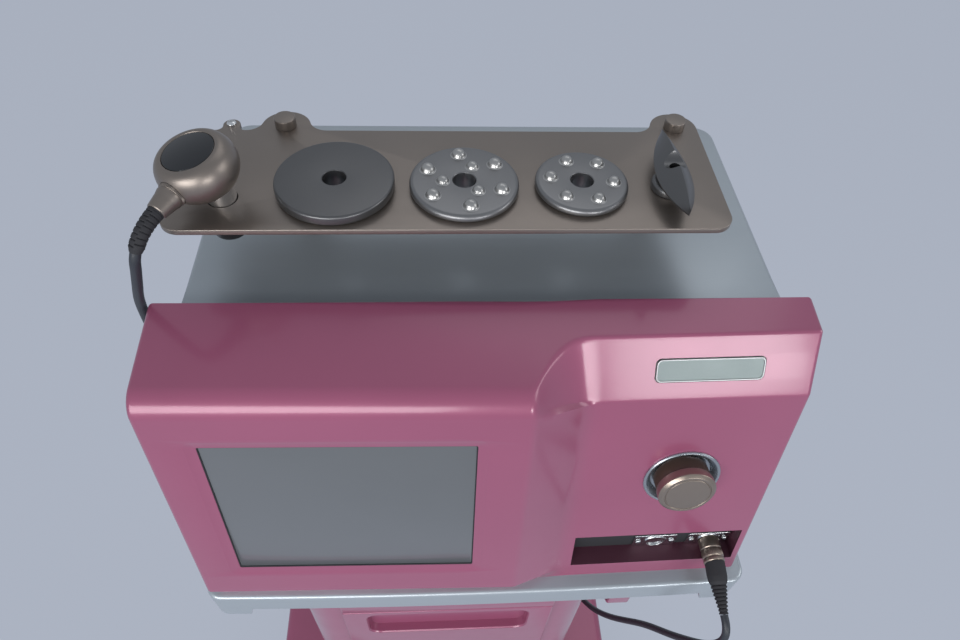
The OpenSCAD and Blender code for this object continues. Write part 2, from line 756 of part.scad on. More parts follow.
module encoder() {
    low = -dish - 3 - encoder_deep;
    color("#2f5d46") at_knob() difference() {
        union() {
            translate([-encoder_w / 2, -encoder_w / 2, low]) cube([encoder_w, encoder_w, encoder_deep]);
            translate([0, 0, -dish - 3 - eps]) cylinder(r = encoder_neck_r, h = 3);
        }
        // the shaft's bore and the chamber that the plunger moves in
        translate([0, 0, -dish - 7]) cylinder(r = shaft_r + run, h = 20);
        translate([0, 0, low + 2]) cylinder(r = plunger_r + gap, h = encoder_deep - 5);
    }
}
module encoder_plunger() {
    color("#d8d4cc") at_knob() translate([0, 0, -dish - 8.3 - plunger_t])
        cylinder(r = plunger_r, h = plunger_t);
}
module connector_plate() {
    color("#1c1a1c") at_console() difference() {
        recess_box(sleeve_t, [socket_y, socket_y + 2]);
        rotate([0, 0, face_turn]) for (k = [0, 1])
            translate([socket_x - k * socket_gap, socket_y - 1, socket_z]) rotate([-90, 0, 0]) {
                cylinder(r = barrel_r + gap, h = 5);
                for (s = [-1, 1]) translate([s * screw_at, 0, 0]) cylinder(r = 1.5, h = 5);
            }
    }
}
module at_socket(k) {
    at_console() rotate([0, 0, face_turn])
        translate([socket_x - k * socket_gap, socket_y, socket_z]) rotate([90, 0, 0]) children();
}
module sockets() {
    color("#b4b7ba") for (k = [0, 1]) at_socket(k) difference() {
        union() {
            slab(flange_w, flange_h, flange_t, 2);
            translate([0, 0, -barrel_len]) cylinder(r = barrel_r, h = barrel_len + eps);
        }
        translate([0, 0, -barrel_len + 2]) cylinder(r = bore_r, h = barrel_len + 10);
        for (s = [-1, 1]) translate([s * screw_at, 0, -1]) cylinder(r = 1.4, h = 5);
    }
}
module socket_screws() {
    color("#d9dbdd") for (k = [0, 1], s = [-1, 1]) at_socket(k) translate([s * screw_at, 0, -6]) {
        cylinder(r = 1.35, h = 8 + eps);
        translate([0, 0, 8]) difference() {
            cylinder(r = 2.8, h = 1.6);
            translate([-0.4, -2, 0.8]) cube([0.8, 4, 2]);
        }
    }
}
module plug_shell() {
    r = plug_d / 2;
    color("#8c8076") at_socket(0) {
        translate([0, 0, -14]) cylinder(r = bore_r - run, h = 16.1);
        translate([0, 0, 2]) rotate_extrude() polygon([
            [0, 0], [r - 0.6, 0], [r, 0.6], [r, 13], [r - 0.5, 13.4], [r - 0.5, 14.4], [r, 14.8],
            [r, plug_out - 2.6], [r - 0.6, plug_out - 2], [0, plug_out - 2]]);
    }
}
module plug_boot() {
    r = plug_d / 2 - 0.6;
    color("#17181a") at_socket(0) difference() {
        translate([0, 0, plug_out]) rotate([boot_drop, 0, 0]) rotate_extrude() polygon(concat(
            [[0, -4], [r, -4], [r, 12], [r - 1.4, 18]],
            [for (k = [0:6]) let(z = 19 + 3.2 * k, q = r - 1.8 - 0.5 * k)
                each [[q, z], [q, z + 1.8], [q - 0.9, z + 2], [q - 0.9, z + 3]]],
            [[lead_d / 2 + 0.5, boot_len], [0, boot_len]]));
        cylinder(r = plug_d, h = plug_out);
    }
}
module base_pan() {
    color("#9a9da1") at_console() difference() {
        box([gap - way_x, way_x - gap], [shell_d - shell_wall - 40, console_d - cover_t - gap], [0, floor_t]);
        for (p = pan_screws) translate([p[0], p[1], -1]) cylinder(r = pan_screw_r, h = 10);
    }
}
module rear_cover() {
    out = cover_w / 2;
    color("#b9bec2") at_console() difference() {
        box([-out, out], [shell_d, console_d - cover_t], [0, cover_h]);
        box([-out + cover_t, out - cover_t], [shell_d - 1, console_d], [-1, cover_h - cover_t]);
        for (x = ears) translate([x, ear_y, cover_h - 5]) cylinder(r = stud_r + 0.2, h = 10);
        for (s = [0, 1], k = [0:slots - 1]) mirror([s, 0, 0]) let(y = slot_y + slot_pitch * k)
            box([out - 5, out + 1], [y, y + slot_w], [slot_low, slot_low + slot_h]);
    }
}
module rear_panel() {
    x = inlet_w / 2 + 1;
    z = inlet_h / 2 + 1;
    color("#9a9da1") at_console() difference() {
        box([-cover_w / 2, cover_w / 2], [console_d - cover_t, console_d], [0, cover_h]);
        translate([fan_at[0], console_d - 5, fan_at[1]]) rotate([-90, 0, 0])
            cylinder(r = fan_size / 2 - 2, h = 10);
        box([inlet_at[0] - x, inlet_at[0] + x], [console_d - 5, console_d + 1],
            [inlet_at[1] - z, inlet_at[1] + z]);
    }
}
module rf_board() {
    w = rf_size[0];
    d = rf_size[1];
    top = rf_z + rf_size[2] - eps;
    color("#2f6b4a") at_console() translate([rf_at[0], rf_at[1], 0]) {
        translate([-w / 2, -d / 2, rf_z]) cube(rf_size);
        for (x = [-1, 1], y = [-1, 1])
            translate([x * (w / 2 - rf_leg), y * (d / 2 - rf_leg), floor_t])
                cylinder(r = 3, h = rf_z - floor_t + eps);
        for (x = [-w / 3, -w / 8, w / 8, w / 3]) translate([x, 10, top]) cylinder(r = coil_r, h = coil_h);
        translate([-0.4 * w, -0.44 * d, top]) cube([0.8 * w, 0.27 * d, 32]);
    }
}
module control_board() {
    w = control_size[0];
    face = control_size[1] - eps;
    color("#2f6b4a") at_console() translate([control_at[0], control_at[1], 0]) {
        translate([-w / 2, 0, control_z]) cube(control_size);
        for (x = [-w / 2 + stand, w / 2 - 2 * stand]) translate([x, -stand / 2, floor_t])
            cube([stand, stand, control_z - floor_t + 6]);
        translate([-0.2 * w, face, control_z + 30]) cube([34, 4, 34]);
        translate([w / 7, face, control_z + 20]) cube([20, 7, 12]);
    }
}
module power_supply() {
    x = supply_at[0];
    y = supply_at[1];
    top = floor_t + supply_size[2];
    pitch = (supply_size[0] - 20) / supply_slots;
    color("#8a8d90") at_console() difference() {
        translate([x, y, floor_t]) cube(supply_size);
        for (k = [0:supply_slots - 1]) let(x0 = x + 14 + pitch * k)
            box([x0, x0 + 6], [y + 10, y + supply_size[1] - 10], [top - 4, top + 1]);
    }
}
module at_fan() {
    at_console() translate([fan_at[0], console_d - cover_t, fan_at[1]]) rotate([90, 0, 0]) children();
}
module fan_frame() {
    color("#1d1e20") at_fan() {
        difference() {
            translate([0, 0, fan_deep / 2]) cube([fan_size, fan_size, fan_deep], center = true);
            translate([0, 0, -1]) cylinder(r = fan_size / 2 - 2, h = fan_deep + 2);
        }
        translate([0, 0, fan_deep - 3]) linear_extrude(2) {
            circle(hub_r);
            for (a = [0, 120, 240]) rotate(a) translate([hub_r - 3, -2]) square([fan_size / 2 - hub_r + 2, 4]);
        }
        translate([0, 0, 3]) cylinder(r = pin_r, h = fan_deep - 5);
    }
}
module fan_rotor() {
    blade = [fan_size / 2 - hub_r, 14, 1.2];
    color("#2a2b2e") at_fan() difference() {
        union() {
            translate([0, 0, 2]) cylinder(r = hub_r, h = fan_deep - 5 - gap);
            for (k = [0:blades - 1]) rotate([0, 0, k * 360 / blades])
                translate([hub_r - 3, 0, fan_deep / 2 - 1]) rotate([35, 0, 0])
                    translate([0, -blade[1] / 2, -blade[2] / 2]) cube(blade);
        }
        translate([0, 0, 2.5]) cylinder(r = pin_r + run, h = fan_deep);
    }
}
module at_inlet() {
    at_console() translate([inlet_at[0], console_d, inlet_at[1]]) rotate([-90, 0, 0]) children();
}
module mains_inlet() {
    color("#1d1e20") at_inlet() difference() {
        union() {
            translate([-inlet_w / 2 - 4, -inlet_h / 2 - 4, 0]) cube([inlet_w + 8, inlet_h + 8, 2.5]);
            translate([-inlet_w / 2, -inlet_h / 2, -inlet_deep]) cube([inlet_w, inlet_h, inlet_deep + eps]);
        }
        // the connector's cavity, the switch's cavity and the switch's pivot
        translate([3 - inlet_w / 2, 3 - inlet_h / 2, -16]) cube([26, inlet_h - 6, 30]);
        translate([8, 2 - inlet_h / 2, -12]) cube([14, inlet_h - 4, 30]);
        translate([0, 0, -1]) rotate([0, 90, 0]) cylinder(r = 1.5 + run, h = 24);
    }
}
module mains_switch() {
    rocker = [[-9.5, 1.5], [-9, -5], [9, -5], [9.5, 1.5], [9.5, 2.5], [0, 4], [-9.5, 5.5]];
    color("#8c2424") at_inlet() {
        translate([8.5, 0, 0]) rotate([90, 0, 90]) linear_extrude(13) polygon(rocker);
        translate([6, 0, -1]) rotate([0, 90, 0]) cylinder(r = 1.5, h = 17);
    }
}

// ---- tool plate and tools ----

// a round ear at the plate's back, blended into its edge by hollow corners of radius f
function web(x, y, to_x, to_y) = [[x, y], [x, plate_back - 5], [to_x, plate_back - 5], [to_x, to_y]];
module ear(x, y, r, sides, f) {
    translate([x, y]) circle(r);
    // the hollow corner's centre, low enough to cut a little into the plate's edge
    cy = plate_back + f - 0.1;
    dx = sqrt(pow(r + f - 0.1, 2) - pow(cy - y, 2));
    for (s = sides) difference() {
        polygon(s > 0 ? web(x, y, x + dx, cy) : [for (k = [3:-1:0]) web(x, y, x - dx, cy)[k]]);
        translate([x + s * dx, cy]) circle(f);
    }
}
module tool_plate_outline() {
    l = -tool_plate_left;
    w = tool_plate_w;
    r = tool_plate_r;
    translate([l + r, tool_plate_y]) square([w - 2 * r, tool_plate_d]);
    translate([l, tool_plate_y + r]) square([w, tool_plate_d - 2 * r]);
    translate([l + w - 2 * r, plate_back - 2 * r]) square(2 * r);
    for (c = [[l + r, tool_plate_y + r], [l + w - r, tool_plate_y + r], [l + r, plate_back - r]])
        translate(c) circle(r);
    ear(ears[0], ear_y, ear_r, [-1, 1], 14);
    ear(ears[1], ear_y, ear_r, [-1], 14);
    translate([ears[1], plate_back - 10]) square([ear_r, ear_y - plate_back + 10]);
    ear(small_ear[0], small_ear[1], small_ear[2], [-1, 1], 5);
}
module tool_plate() {
    holes = concat([for (x = tools_x) [x, tool_y]], [dock]);
    color("#75685f") at_console() translate([0, 0, plate_top - tool_plate_t])
        linear_extrude(tool_plate_t) difference() {
            tool_plate_outline();
            for (p = holes) translate(p) circle(tool_hole_d / 2);
            for (x = ears) translate([x, ear_y]) circle(stud_r + 0.2);
            translate([small_ear[0], small_ear[1]]) circle(screw_r + 0.1);
        }
}
module plate_posts() {
    color("#75685f") at_console() for (x = ears) translate([x, ear_y, cover_h]) {
        cylinder(d = post_d, h = tool_plate_up - tool_plate_t);
        cylinder(d = post_d + 10, h = 3);
        translate([0, 0, -8]) cylinder(r = stud_r, h = 8 + tool_plate_up + stud_up);
    }
}
module thumb_nuts() {
    hole = stud_r + run;
    edge = 0.6;
    color("#75685f") at_console() for (x = ears) translate([x, ear_y, plate_top]) rotate_extrude() polygon([
        [hole, 0], [nut_r, 0], [nut_r, nut_h - edge], [nut_r - edge, nut_h], [0, nut_h],
        [0, stud_up + 0.5], [hole, stud_up + 0.5]]);
}
module plate_screw() {
    cross = [0.8, 4.4, 2];
    color("#c9ccce") at_console() translate([small_ear[0], small_ear[1], plate_top]) {
        translate([0, 0, -tool_plate_t - screw_len]) cylinder(r = screw_r, h = tool_plate_t + screw_len + eps);
        difference() {
            cylinder(r = screw_head_r, h = screw_head_h);
            for (a = [20, 110]) rotate([0, 0, a])
                translate([-cross[0] / 2, -cross[1] / 2, screw_head_h - 1]) cube(cross);
        }
    }
}
module at_dock() { at_console() translate([dock[0], dock[1], plate_top]) children(); }
// the closed cup under the plate that the handset's spigot drops into
module dock_cup() {
    r = cup_d / 2;
    hole = r - cup_wall;
    color("#4a4542") at_dock() rotate_extrude($fn = 72) polygon([
        [0, -cup_deep], [r - 3, -cup_deep], [r, -cup_deep + 3], [r, -tool_plate_t], [hole, -tool_plate_t],
        [hole, -cup_deep + cup_floor], [0, -cup_deep + cup_floor]]);
}
// a disc with a round rim, a hollow spigot below and its top at height t
module tool_disc(r, t) {
    hole = disc_hole_d / 2;
    rotate_extrude($fn = 96) polygon(rounded(
        [[hole, -spigot_len], [spigot_r, -spigot_len], [spigot_r, 0], [r - 1, 0], [r, 0.8], [r, t], [hole, t]],
        [0, 0.8, 0, 0, 0, min(3, t / 2.5), 0.6]));
}
module at_tool(k) { at_console() translate([tools_x[k], tool_y, plate_top]) children(); }
module beads(n, ring, from, t, r) {
    for (k = [0:n - 1]) rotate([0, 0, from + k * 360 / n]) translate([ring, 0, t]) sphere(r);
}
module disc_plain() { color("#53534f") at_tool(0) tool_disc(plain_d / 2, plain_t); }
module disc_nine() {
    color("#5f5e5a") at_tool(1) {
        tool_disc(nine_d / 2, bead_disc_t);
        beads(6, nine_d * 0.36, 37, bead_disc_t, bead_r);
        beads(3, nine_d * 0.2, 67, bead_disc_t, small_bead_r);
    }
}
module disc_six() {
    color("#5f5e5a") at_tool(2) {
        tool_disc(six_d / 2, bead_disc_t);
        beads(6, six_d / 2 - 11, 53, bead_disc_t, bead_r - 0.4);
    }
}
module blade_tool() {
    // the leaf is the overlap of two circles, its keel and deck are arcs of two larger ones
    half = blade_w / 2;
    leaf_r = (pow(blade_len / 2, 2) + half * half) / blade_w;
    leaf_h = blade_h + 4;
    color("#4f4f50") at_tool(3) difference() {
        union() {
            translate([0, 0, keel_z]) intersection() {
                for (s = [-1, 1]) translate([s * (leaf_r - half), 0, 0])
                    cylinder(r = leaf_r, h = leaf_h, $fn = 120);
                translate([-blade_w, 0, keel_r]) rotate([0, 90, 0])
                    cylinder(r = keel_r, h = 2 * blade_w, $fn = 180);
                translate([-blade_w, 0, blade_h - deck_r]) rotate([0, 90, 0])
                    cylinder(r = deck_r, h = 2 * blade_w, $fn = 180);
            }
            cylinder(r = blade_foot_r, h = blade_foot_h);
            translate([0, 0, -spigot_len]) cylinder(r = spigot_r, h = spigot_len + 1);
        }
        translate([-blade_w, 0, saddle_z]) rotate([0, 90, 0]) cylinder(r = saddle_r, h = 2 * blade_w);
        translate([0, 0, -20]) cylinder(r = blade_bore_r, h = 60);
    }
}

// ---- handset ----

module at_ball() { at_console() translate(ball_at) rotate(ball_tilt) children(); }
// the round body's outline, moved in by t: a flattened ellipse with a flat round top for the display
function ball_outline(t) = let(r = ball_d / 2 - t, flat = lens_d / 2 + ball_rim - t) concat(
    [for (a = [-90:10:0]) [r * pow(cos(a), 0.8), (ball_low - t) * sin(a)]],
    [for (a = [10:10:90]) [flat + (r - flat) * cos(a), (ball_top - t) * sin(a)]],
    [[0, ball_top - t]]);
module handset_body() {
    color("#7a6e64") difference() {
        at_ball() difference() {
            rotate_extrude($fn = 72) polygon(ball_outline(0));
            rotate_extrude($fn = 72) polygon(ball_outline(ball_wall));
            translate([0, 0, ball_top - lens_t]) cylinder(d = lens_d, h = 5);
        }
        at_dock() cylinder(r = spigot_r + run, h = head_up + 4);
        at_neck() cylinder(r = neck_stub_r, h = 60);
        at_neck() translate([0, 0, neck_from]) cylinder(r = neck_r, h = 60);
    }
}
module handset_lens() {
    color("#15191f") at_ball() translate([0, 0, ball_top - lens_t])
        cylinder(d = lens_d - 2 * run, h = lens_t + 0.2);
}
// the neck points to the front left and a little down
module at_neck() {
    at_console() translate(ball_at) rotate([0, 0, neck_turn]) rotate([90 + neck_dip, 0, 0]) children();
}
module handset_neck() {
    color("#7a6e64") at_neck() difference() {
        union() {
            translate([0, 0, neck_from]) cylinder(r = neck_r, h = collar_t);
            translate([0, 0, neck_from + collar_t - 1])
                cylinder(r1 = neck_r - 0.6, r2 = neck_low_r, h = neck_len - collar_t + 1);
            translate([0, 0, neck_from - 6]) cylinder(r = neck_stub_r - run, h = 8);
        }
        translate([0, 0, neck_from - 7]) cylinder(r = lead_d / 2 + 0.5, h = 60);
    }
}
module strain_relief() {
    ribs = [
        for (k = [0:4]) let(z = 1.2 + 4 * k, r = relief_r - 0.24 * k)
            each [[r, z], [r, z + 2], [r - 1, z + 2.4], [r - 1, z + 3.6]]
    ];
    end_r = relief_r - 1;
    low = relief_len - 2.4;
    color("#17181a") {
        at_neck() translate([0, 0, neck_from + neck_len - 6]) cylinder(r = lead_d / 2 + 0.4, h = 6 + eps);
        difference() {
            at_console() translate(neck_end) rotate([0, 0, relief_turn]) rotate([90 + relief_dip, 0, 0])
                rotate_extrude() polygon(concat(
                    [[0, -4], [relief_r, -4], [relief_r, 1]], ribs,
                    [[end_r, low], [end_r, relief_len], [0, relief_len]]));
            at_neck() cylinder(r = 16, h = neck_from + neck_len);
        }
    }
}
// the shaft that carries an electrode head in use and stands in the dock's cup
module handset_spigot() {
    r = spigot_r;
    low = -cup_deep + cup_floor + gap;
    color("#b9bcbf") at_dock() rotate_extrude($fn = 72) polygon([
        [0, low], [r - 1, low], [r, low + 1], [r, head_up], [0, head_up]]);
}

// ---- lead ----

// a smooth curve through the route's points, sampled evenly, with a ring of points at each sample
function tangent(p, i) = let(a = max(i - 1, 0), b = min(i + 1, len(p) - 1)) (p[b] - p[a]) / (b - a);
function on_route(p, i, t) = let(a = p[i], b = p[i + 1], u = tangent(p, i), v = tangent(p, i + 1))
    (2 * pow(t, 3) - 3 * t * t + 1) * a + (pow(t, 3) - 2 * t * t + t) * u
    + (3 * t * t - 2 * pow(t, 3)) * b + (pow(t, 3) - t * t) * v;
function curve(p, n) = [for (i = [0:len(p) - 2], k = [0:n - 1]) on_route(p, i, k / n), p[len(p) - 1]];
module tube(path, r, sides) {
    n = len(path);
    skin([for (i = [0:n - 1]) let(
        d = path[min(i + 1, n - 1)] - path[max(i - 1, 0)], f = d / norm(d),
        s = cross(f, abs(f[1]) > 0.9 ? [1, 0, 0] : [0, 1, 0]), u = s / norm(s), v = cross(f, u))
        [for (k = [0:sides - 1]) path[i] + r * (cos(360 * k / sides) * u + sin(360 * k / sides) * v)]]);
}
module lead() { color("#1b1d20") at_console() tube(curve(lead_route, 2), lead_d / 2, 8); }

base_cover();
base_plate();
caster_fork(1);  // caster_fork_1
caster_fork(2);  // caster_fork_2
caster_fork(3);  // caster_fork_3
caster_fork(4);  // caster_fork_4
caster_wheel(1);  // caster_wheel_1
caster_wheel(2);  // caster_wheel_2
caster_wheel(3);  // caster_wheel_3
caster_wheel(4);  // caster_wheel_4
column_shell();
column_frame();
column_cap();
column_back();
front_panels();
drawer_front();
drawer_box();
slide_rails();
tray();
cable_hook();
base_pan();
front_shell();
rear_cover();
rear_panel();
screen_glass();
lcd_module();
nameplate();
knob_bezel();
knob_skirt();
knob_cap();
encoder();
encoder_plunger();
connector_plate();
sockets();
socket_screws();
plug_shell();
plug_boot();
lead();
rf_board();
control_board();
power_supply();
fan_frame();
fan_rotor();
mains_inlet();
mains_switch();
tool_plate();
plate_posts();
thumb_nuts();
plate_screw();
dock_cup();
disc_plain();
disc_nine();
disc_six();
blade_tool();
handset_body();
handset_lens();
handset_neck();
strain_relief();
handset_spigot();
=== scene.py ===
"""Facial toning machine: the looks of the pink console, its tool plate and its wheeled column.

Metres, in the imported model's frame. Most pieces are measured from the console's foot: x from its middle,
y backwards from the pod's lower edge and z up from the tray.
"""

import math

import bmesh
import bpy
import numpy as np
from bpy.props import FloatProperty, FloatVectorProperty, IntProperty, PointerProperty
from mathutils import Matrix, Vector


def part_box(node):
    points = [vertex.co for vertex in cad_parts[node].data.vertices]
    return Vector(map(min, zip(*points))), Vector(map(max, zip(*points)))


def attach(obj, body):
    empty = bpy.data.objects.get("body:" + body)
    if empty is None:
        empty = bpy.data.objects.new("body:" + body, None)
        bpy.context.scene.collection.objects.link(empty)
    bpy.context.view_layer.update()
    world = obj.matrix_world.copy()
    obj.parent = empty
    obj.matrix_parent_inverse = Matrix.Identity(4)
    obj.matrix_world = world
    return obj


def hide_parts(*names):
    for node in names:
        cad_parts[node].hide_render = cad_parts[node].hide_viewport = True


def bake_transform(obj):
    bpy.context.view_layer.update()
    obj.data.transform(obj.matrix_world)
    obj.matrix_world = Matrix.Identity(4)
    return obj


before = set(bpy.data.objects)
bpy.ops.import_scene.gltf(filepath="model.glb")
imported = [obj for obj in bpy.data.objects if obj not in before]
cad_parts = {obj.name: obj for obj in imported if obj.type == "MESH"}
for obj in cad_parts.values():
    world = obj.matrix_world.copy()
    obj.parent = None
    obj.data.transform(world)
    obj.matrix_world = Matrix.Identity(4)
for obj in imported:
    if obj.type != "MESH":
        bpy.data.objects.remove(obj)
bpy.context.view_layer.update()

bl_info = {
    "name": "Facial toning machine",
    "version": (1, 0, 0),
    "blender": (4, 5, 0),
    "location": "3D View > Sidebar > Machine",
    "description": "Builds the machine's visible pieces around its packed model",
    "category": "Object",
}

# ---- places and sizes that follow from the frame ----

COVER_LOW, COVER_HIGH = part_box("rear_cover")
CONSOLE_DEPTH = 0.340
# the console's foot: its middle, the pod's lower edge and the tray's top
FOOT = np.array([
    (COVER_LOW.x + COVER_HIGH.x) / 2,
    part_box("rear_panel")[1].y - CONSOLE_DEPTH,
    COVER_LOW.z,
])
COVER_HEIGHT = COVER_HIGH.z - COVER_LOW.z
SHELL_LOW, SHELL_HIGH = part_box("front_shell")
SHELL_HALF = (SHELL_HIGH.x - SHELL_LOW.x) / 2
SHELL_HEIGHT = SHELL_HIGH.z - SHELL_LOW.z
SHELL_DEPTH = SHELL_HIGH.y - FOOT[1]

# the console's faces
FACE_TURN = math.radians(1.0)
POD_LEAN = math.radians(8.7)
PANEL_LEAN = math.radians(11.5)
BAND_LEAN = math.radians(29.3)
TOP_FALL = math.radians(7.0)
CHIN = 0.0235
FOOT_SET = 0.0155
PANEL_HEIGHT = 0.224
SHELL_WALL = 0.0035
POD_EDGE = 0.027
PANEL_START = 0.0735
# what stands on them
SCREEN_LEFT, SCREEN_UP = 0.2045, 0.0375
SCREEN_W, SCREEN_H = 0.194, 0.160
KNOB_X, KNOB_UP = 0.1605, 0.1385
KNOB_R, KNOB_OUT, BEZEL_R, DISH = 0.0234, 0.018, 0.0316, 0.005
PRESS = 0.0015          # the knob's travel
PLATE_W, PLATE_H, PLATE_UP = 0.0805, 0.018, 0.024
SOCKET_X, SOCKET_GAP, SOCKET_Y, SOCKET_Z = 0.212, 0.0505, 0.0355, 0.0275
RECESS_X, RECESS_W, RECESS_Z, RECESS_H = 0.082, 0.151, 0.0161, 0.042
FLANGE_W, FLANGE_H = 0.040, 0.022
PLUG_R, PLUG_OUT, BOOT_LEN, BOOT_DROP = 0.0095, 0.026, 0.043, math.radians(15)
# tool plate, tools and handset
PLATE_TOP = COVER_HEIGHT + 0.060
PLATE_T = 0.0045
TOOLS_X, TOOL_Y = (-0.108, -0.0175, 0.0662, 0.131), 0.179
DOCK = np.array([-0.184, 0.168, PLATE_TOP])
BALL = np.array([-0.192, 0.164, PLATE_TOP + 0.030])
NECK_TURN, NECK_DIP, NECK_FROM, NECK_LEN = math.radians(-28.6), math.radians(10), 0.0242, 0.0178
SPIGOT_R, SPIGOT_LEN, HOLE_R = 0.010, 0.0085, 0.0082
# the numbers of the casters, one at each corner of the base
CASTERS = (1, 2, 3, 4)

# the lead's route from the plug's boot to the handset, measured from the console's foot
LEAD_ROUTE = [
    (0.2125, -0.0284, 0.0164), (0.213, -0.0354, 0.014), (0.2133, -0.041, 0.0086), (0.2132, -0.0438, 0.0004),
    (0.2124, -0.044, -0.012), (0.2096, -0.0395, -0.034), (0.2045, -0.029, -0.062), (0.1965, -0.011, -0.102),
    (0.187, 0.012, -0.15), (0.177, 0.032, -0.2), (0.168, 0.056, -0.258), (0.159, 0.092, -0.322),
    (0.151, 0.142, -0.378), (0.144, 0.198, -0.424), (0.135, 0.254, -0.458), (0.121, 0.306, -0.48),
    (0.094, 0.338, -0.492), (0.052, 0.353, -0.498), (0, 0.357, -0.5), (-0.052, 0.352, -0.494),
    (-0.102, 0.344, -0.474), (-0.148, 0.33, -0.44), (-0.19, 0.308, -0.39), (-0.224, 0.28, -0.326),
    (-0.248, 0.252, -0.254), (-0.262, 0.224, -0.176), (-0.268, 0.198, -0.096), (-0.268, 0.176, -0.016),
    (-0.266, 0.158, 0.062), (-0.262, 0.146, 0.126), (-0.256, 0.136, 0.186), (-0.25, 0.1275, 0.238),
    (-0.2476, 0.1243, 0.256), (-0.2445, 0.1205, 0.272), (-0.2404, 0.1164, 0.286), (-0.2356, 0.1122, 0.299),
    (-0.2314, 0.109, 0.311), (-0.2278, 0.1068, 0.322), (-0.225, 0.1064, 0.3314), (-0.2233, 0.1082, 0.3361),
]


# ---- properties ----

def length(name, description, default):
    return FloatProperty(name=name, description=description, default=default, min=0, unit="LENGTH",
                         precision=4)


def colour(name, description, *rgb):
    """A colour property from screen values of 0 to 255, kept as linear light."""
    s = np.array(rgb) / 255
    linear = np.where(s <= 0.04045, s / 12.92, ((s + 0.055) / 1.055) ** 2.4)
    return FloatVectorProperty(
        name=name, description=description, default=[float(v) for v in linear], size=3, min=0, max=1,
        subtype="COLOR")


class MACHINE_PG_sizes(bpy.types.PropertyGroup):
    bend: length("Pod bend", "Radius of the bend between the pod's face and its top", 0.020)
    end_round: length("End round", "Radius of the shell's rounded ends", 0.004)
    bevel: length("Sheet bevel", "Bevel on the edges of flat metal", 0.0006)
    surround: length("Surround", "Width of the bevelled surround of the screen", 0.008)
    surround_deep: length("Surround depth", "Depth of the screen's surround", 0.0020)
    cover_round: length("Cover corner", "Radius of the rear cover's upright back corners", 0.018)
    cover_edge: length("Cover edge", "Radius of the rear cover's top edges", 0.004)
    lead: length("Lead", "Diameter of the handset's lead", 0.007)
    bead: length("Bead", "Radius of the outer beads on the discs", 0.005)
    ball: length("Handset", "Radius of the handset's round body", 0.0272)
    tray_round: length("Tray edge", "Radius of the tray's top edge", 0.004)
    ridges: IntProperty(name="Collar ridges", description="Ridges round the handset's collar", default=60,
                        min=12)
    knurls: IntProperty(name="Plug ridges", description="Ridges round the plug's grip ring", default=40,
                        min=12)


class MACHINE_PG_colours(bpy.types.PropertyGroup):
    pink: colour("Pink", "Pearl paint of the console, column and base", 152, 80, 109)
    silver: colour("Silver", "Satin paint of the cover and tray", 176, 184, 190)
    bronze: colour("Bronze", "Blasted bronze of the tool plate and handset", 140, 131, 124)
    gunmetal: colour("Gunmetal", "Dark satin metal of the discs", 104, 104, 105)
    bead: colour("Bead", "Satin beads", 176, 175, 173)
    bezel: colour("Bezel", "Turned aluminium ring round the knob", 172, 178, 184)
    label: colour("Nameplate", "Face of the bare nameplate", 128, 138, 137)
    champagne: colour("Champagne", "Anodised cap of the knob", 158, 145, 134)
    # the knob's skirt: its bronze darkened to brown, which paints the shade it stands in
    brown: colour("Brown", "Dark skirt of the knob", 74, 56, 52)
    screen: colour("Screen", "Unlit screen", 93, 96, 99)
    display: colour("Display", "Handset display", 8, 11, 18)
    black: colour("Black", "Moulded black plastic", 26, 26, 28)
    lead: colour("Lead", "Rubber of the lead", 44, 48, 55)
    steel: colour("Steel", "Bright plated steel", 200, 202, 204)
    sheet: colour("Sheet", "Zinc-plated sheet steel", 150, 153, 156)
    board: colour("Board", "Green circuit board", 40, 98, 66)
    wheel: colour("Wheel", "Grey rubber tread", 104, 107, 112)
    red: colour("Red", "Mains switch", 150, 28, 28)
    backdrop: colour("Backdrop", "Floor and surroundings as the camera sees them", 175, 182, 196)


def sizes():
    return bpy.context.scene.machine_sizes


def colours():
    return bpy.context.scene.machine_colours


# ---- outlines and profiles ----

def unit(v):
    v = np.asarray(v, float)
    return v / np.linalg.norm(v, axis=-1, keepdims=True)


def cross2(a, b):
    return a[0] * b[1] - a[1] * b[0]


def meet(a, b, c, d):
    """Where line a-b crosses line c-d."""
    return a + (b - a) * cross2(c - a, d - c) / cross2(b - a, d - c)


def inset(points, moves):
    """A polygon's corners after each side moves to its left by its own distance: neighbouring lines are
    crossed."""
    p = [np.asarray(q, float) for q in points]
    n = len(p)
    out = []
    for i in range(n):
        h, j = (i - 1) % n, (i + 1) % n
        left = [moves[k] * np.array([p[k][1] - p[m][1], p[m][0] - p[k][0]]) / np.linalg.norm(p[m] - p[k])
                for k, m in ((h, i), (i, j))]
        out.append(meet(p[h] + left[0], p[i] + left[0], p[i] + left[1], p[j] + left[1]))
    return out


def corner(a, b, c, r, n):
    """n points of the arc of radius r that rounds corner b between a and c: the arc's centre lies on the
    bisector at r / sin(half angle), and the arc turns from the first tangent point to the second."""
    a, b, c = (np.asarray(q, float) for q in (a, b, c))
    u, v = unit(a - b), unit(c - b)
    half = math.acos(float(np.clip(u @ v, -1, 1))) / 2
    middle = b + unit(u + v) * r / math.sin(half)
    s, e = b + u * r / math.tan(half) - middle, b + v * r / math.tan(half) - middle
    turn = math.atan2(cross2(s, e), s @ e) * np.linspace(0, 1, n)
    return middle + np.stack([s[0] * np.cos(turn) - s[1] * np.sin(turn),
                              s[0] * np.sin(turn) + s[1] * np.cos(turn)], 1)


def rounded(points, radii, n=6, closed=True):
    """A polygon or open profile with its corners rounded, each by its own radius; 0 keeps the corner."""
    count = len(points)
    parts = []
    for i, r in enumerate(radii):
        inner = closed or 0 < i < count - 1
        if r > 0 and inner:
            parts.append(corner(points[i - 1], points[i], points[(i + 1) % count], r, n))
        else:
            parts.append(np.asarray([points[i]], float))
    return np.concatenate(parts)


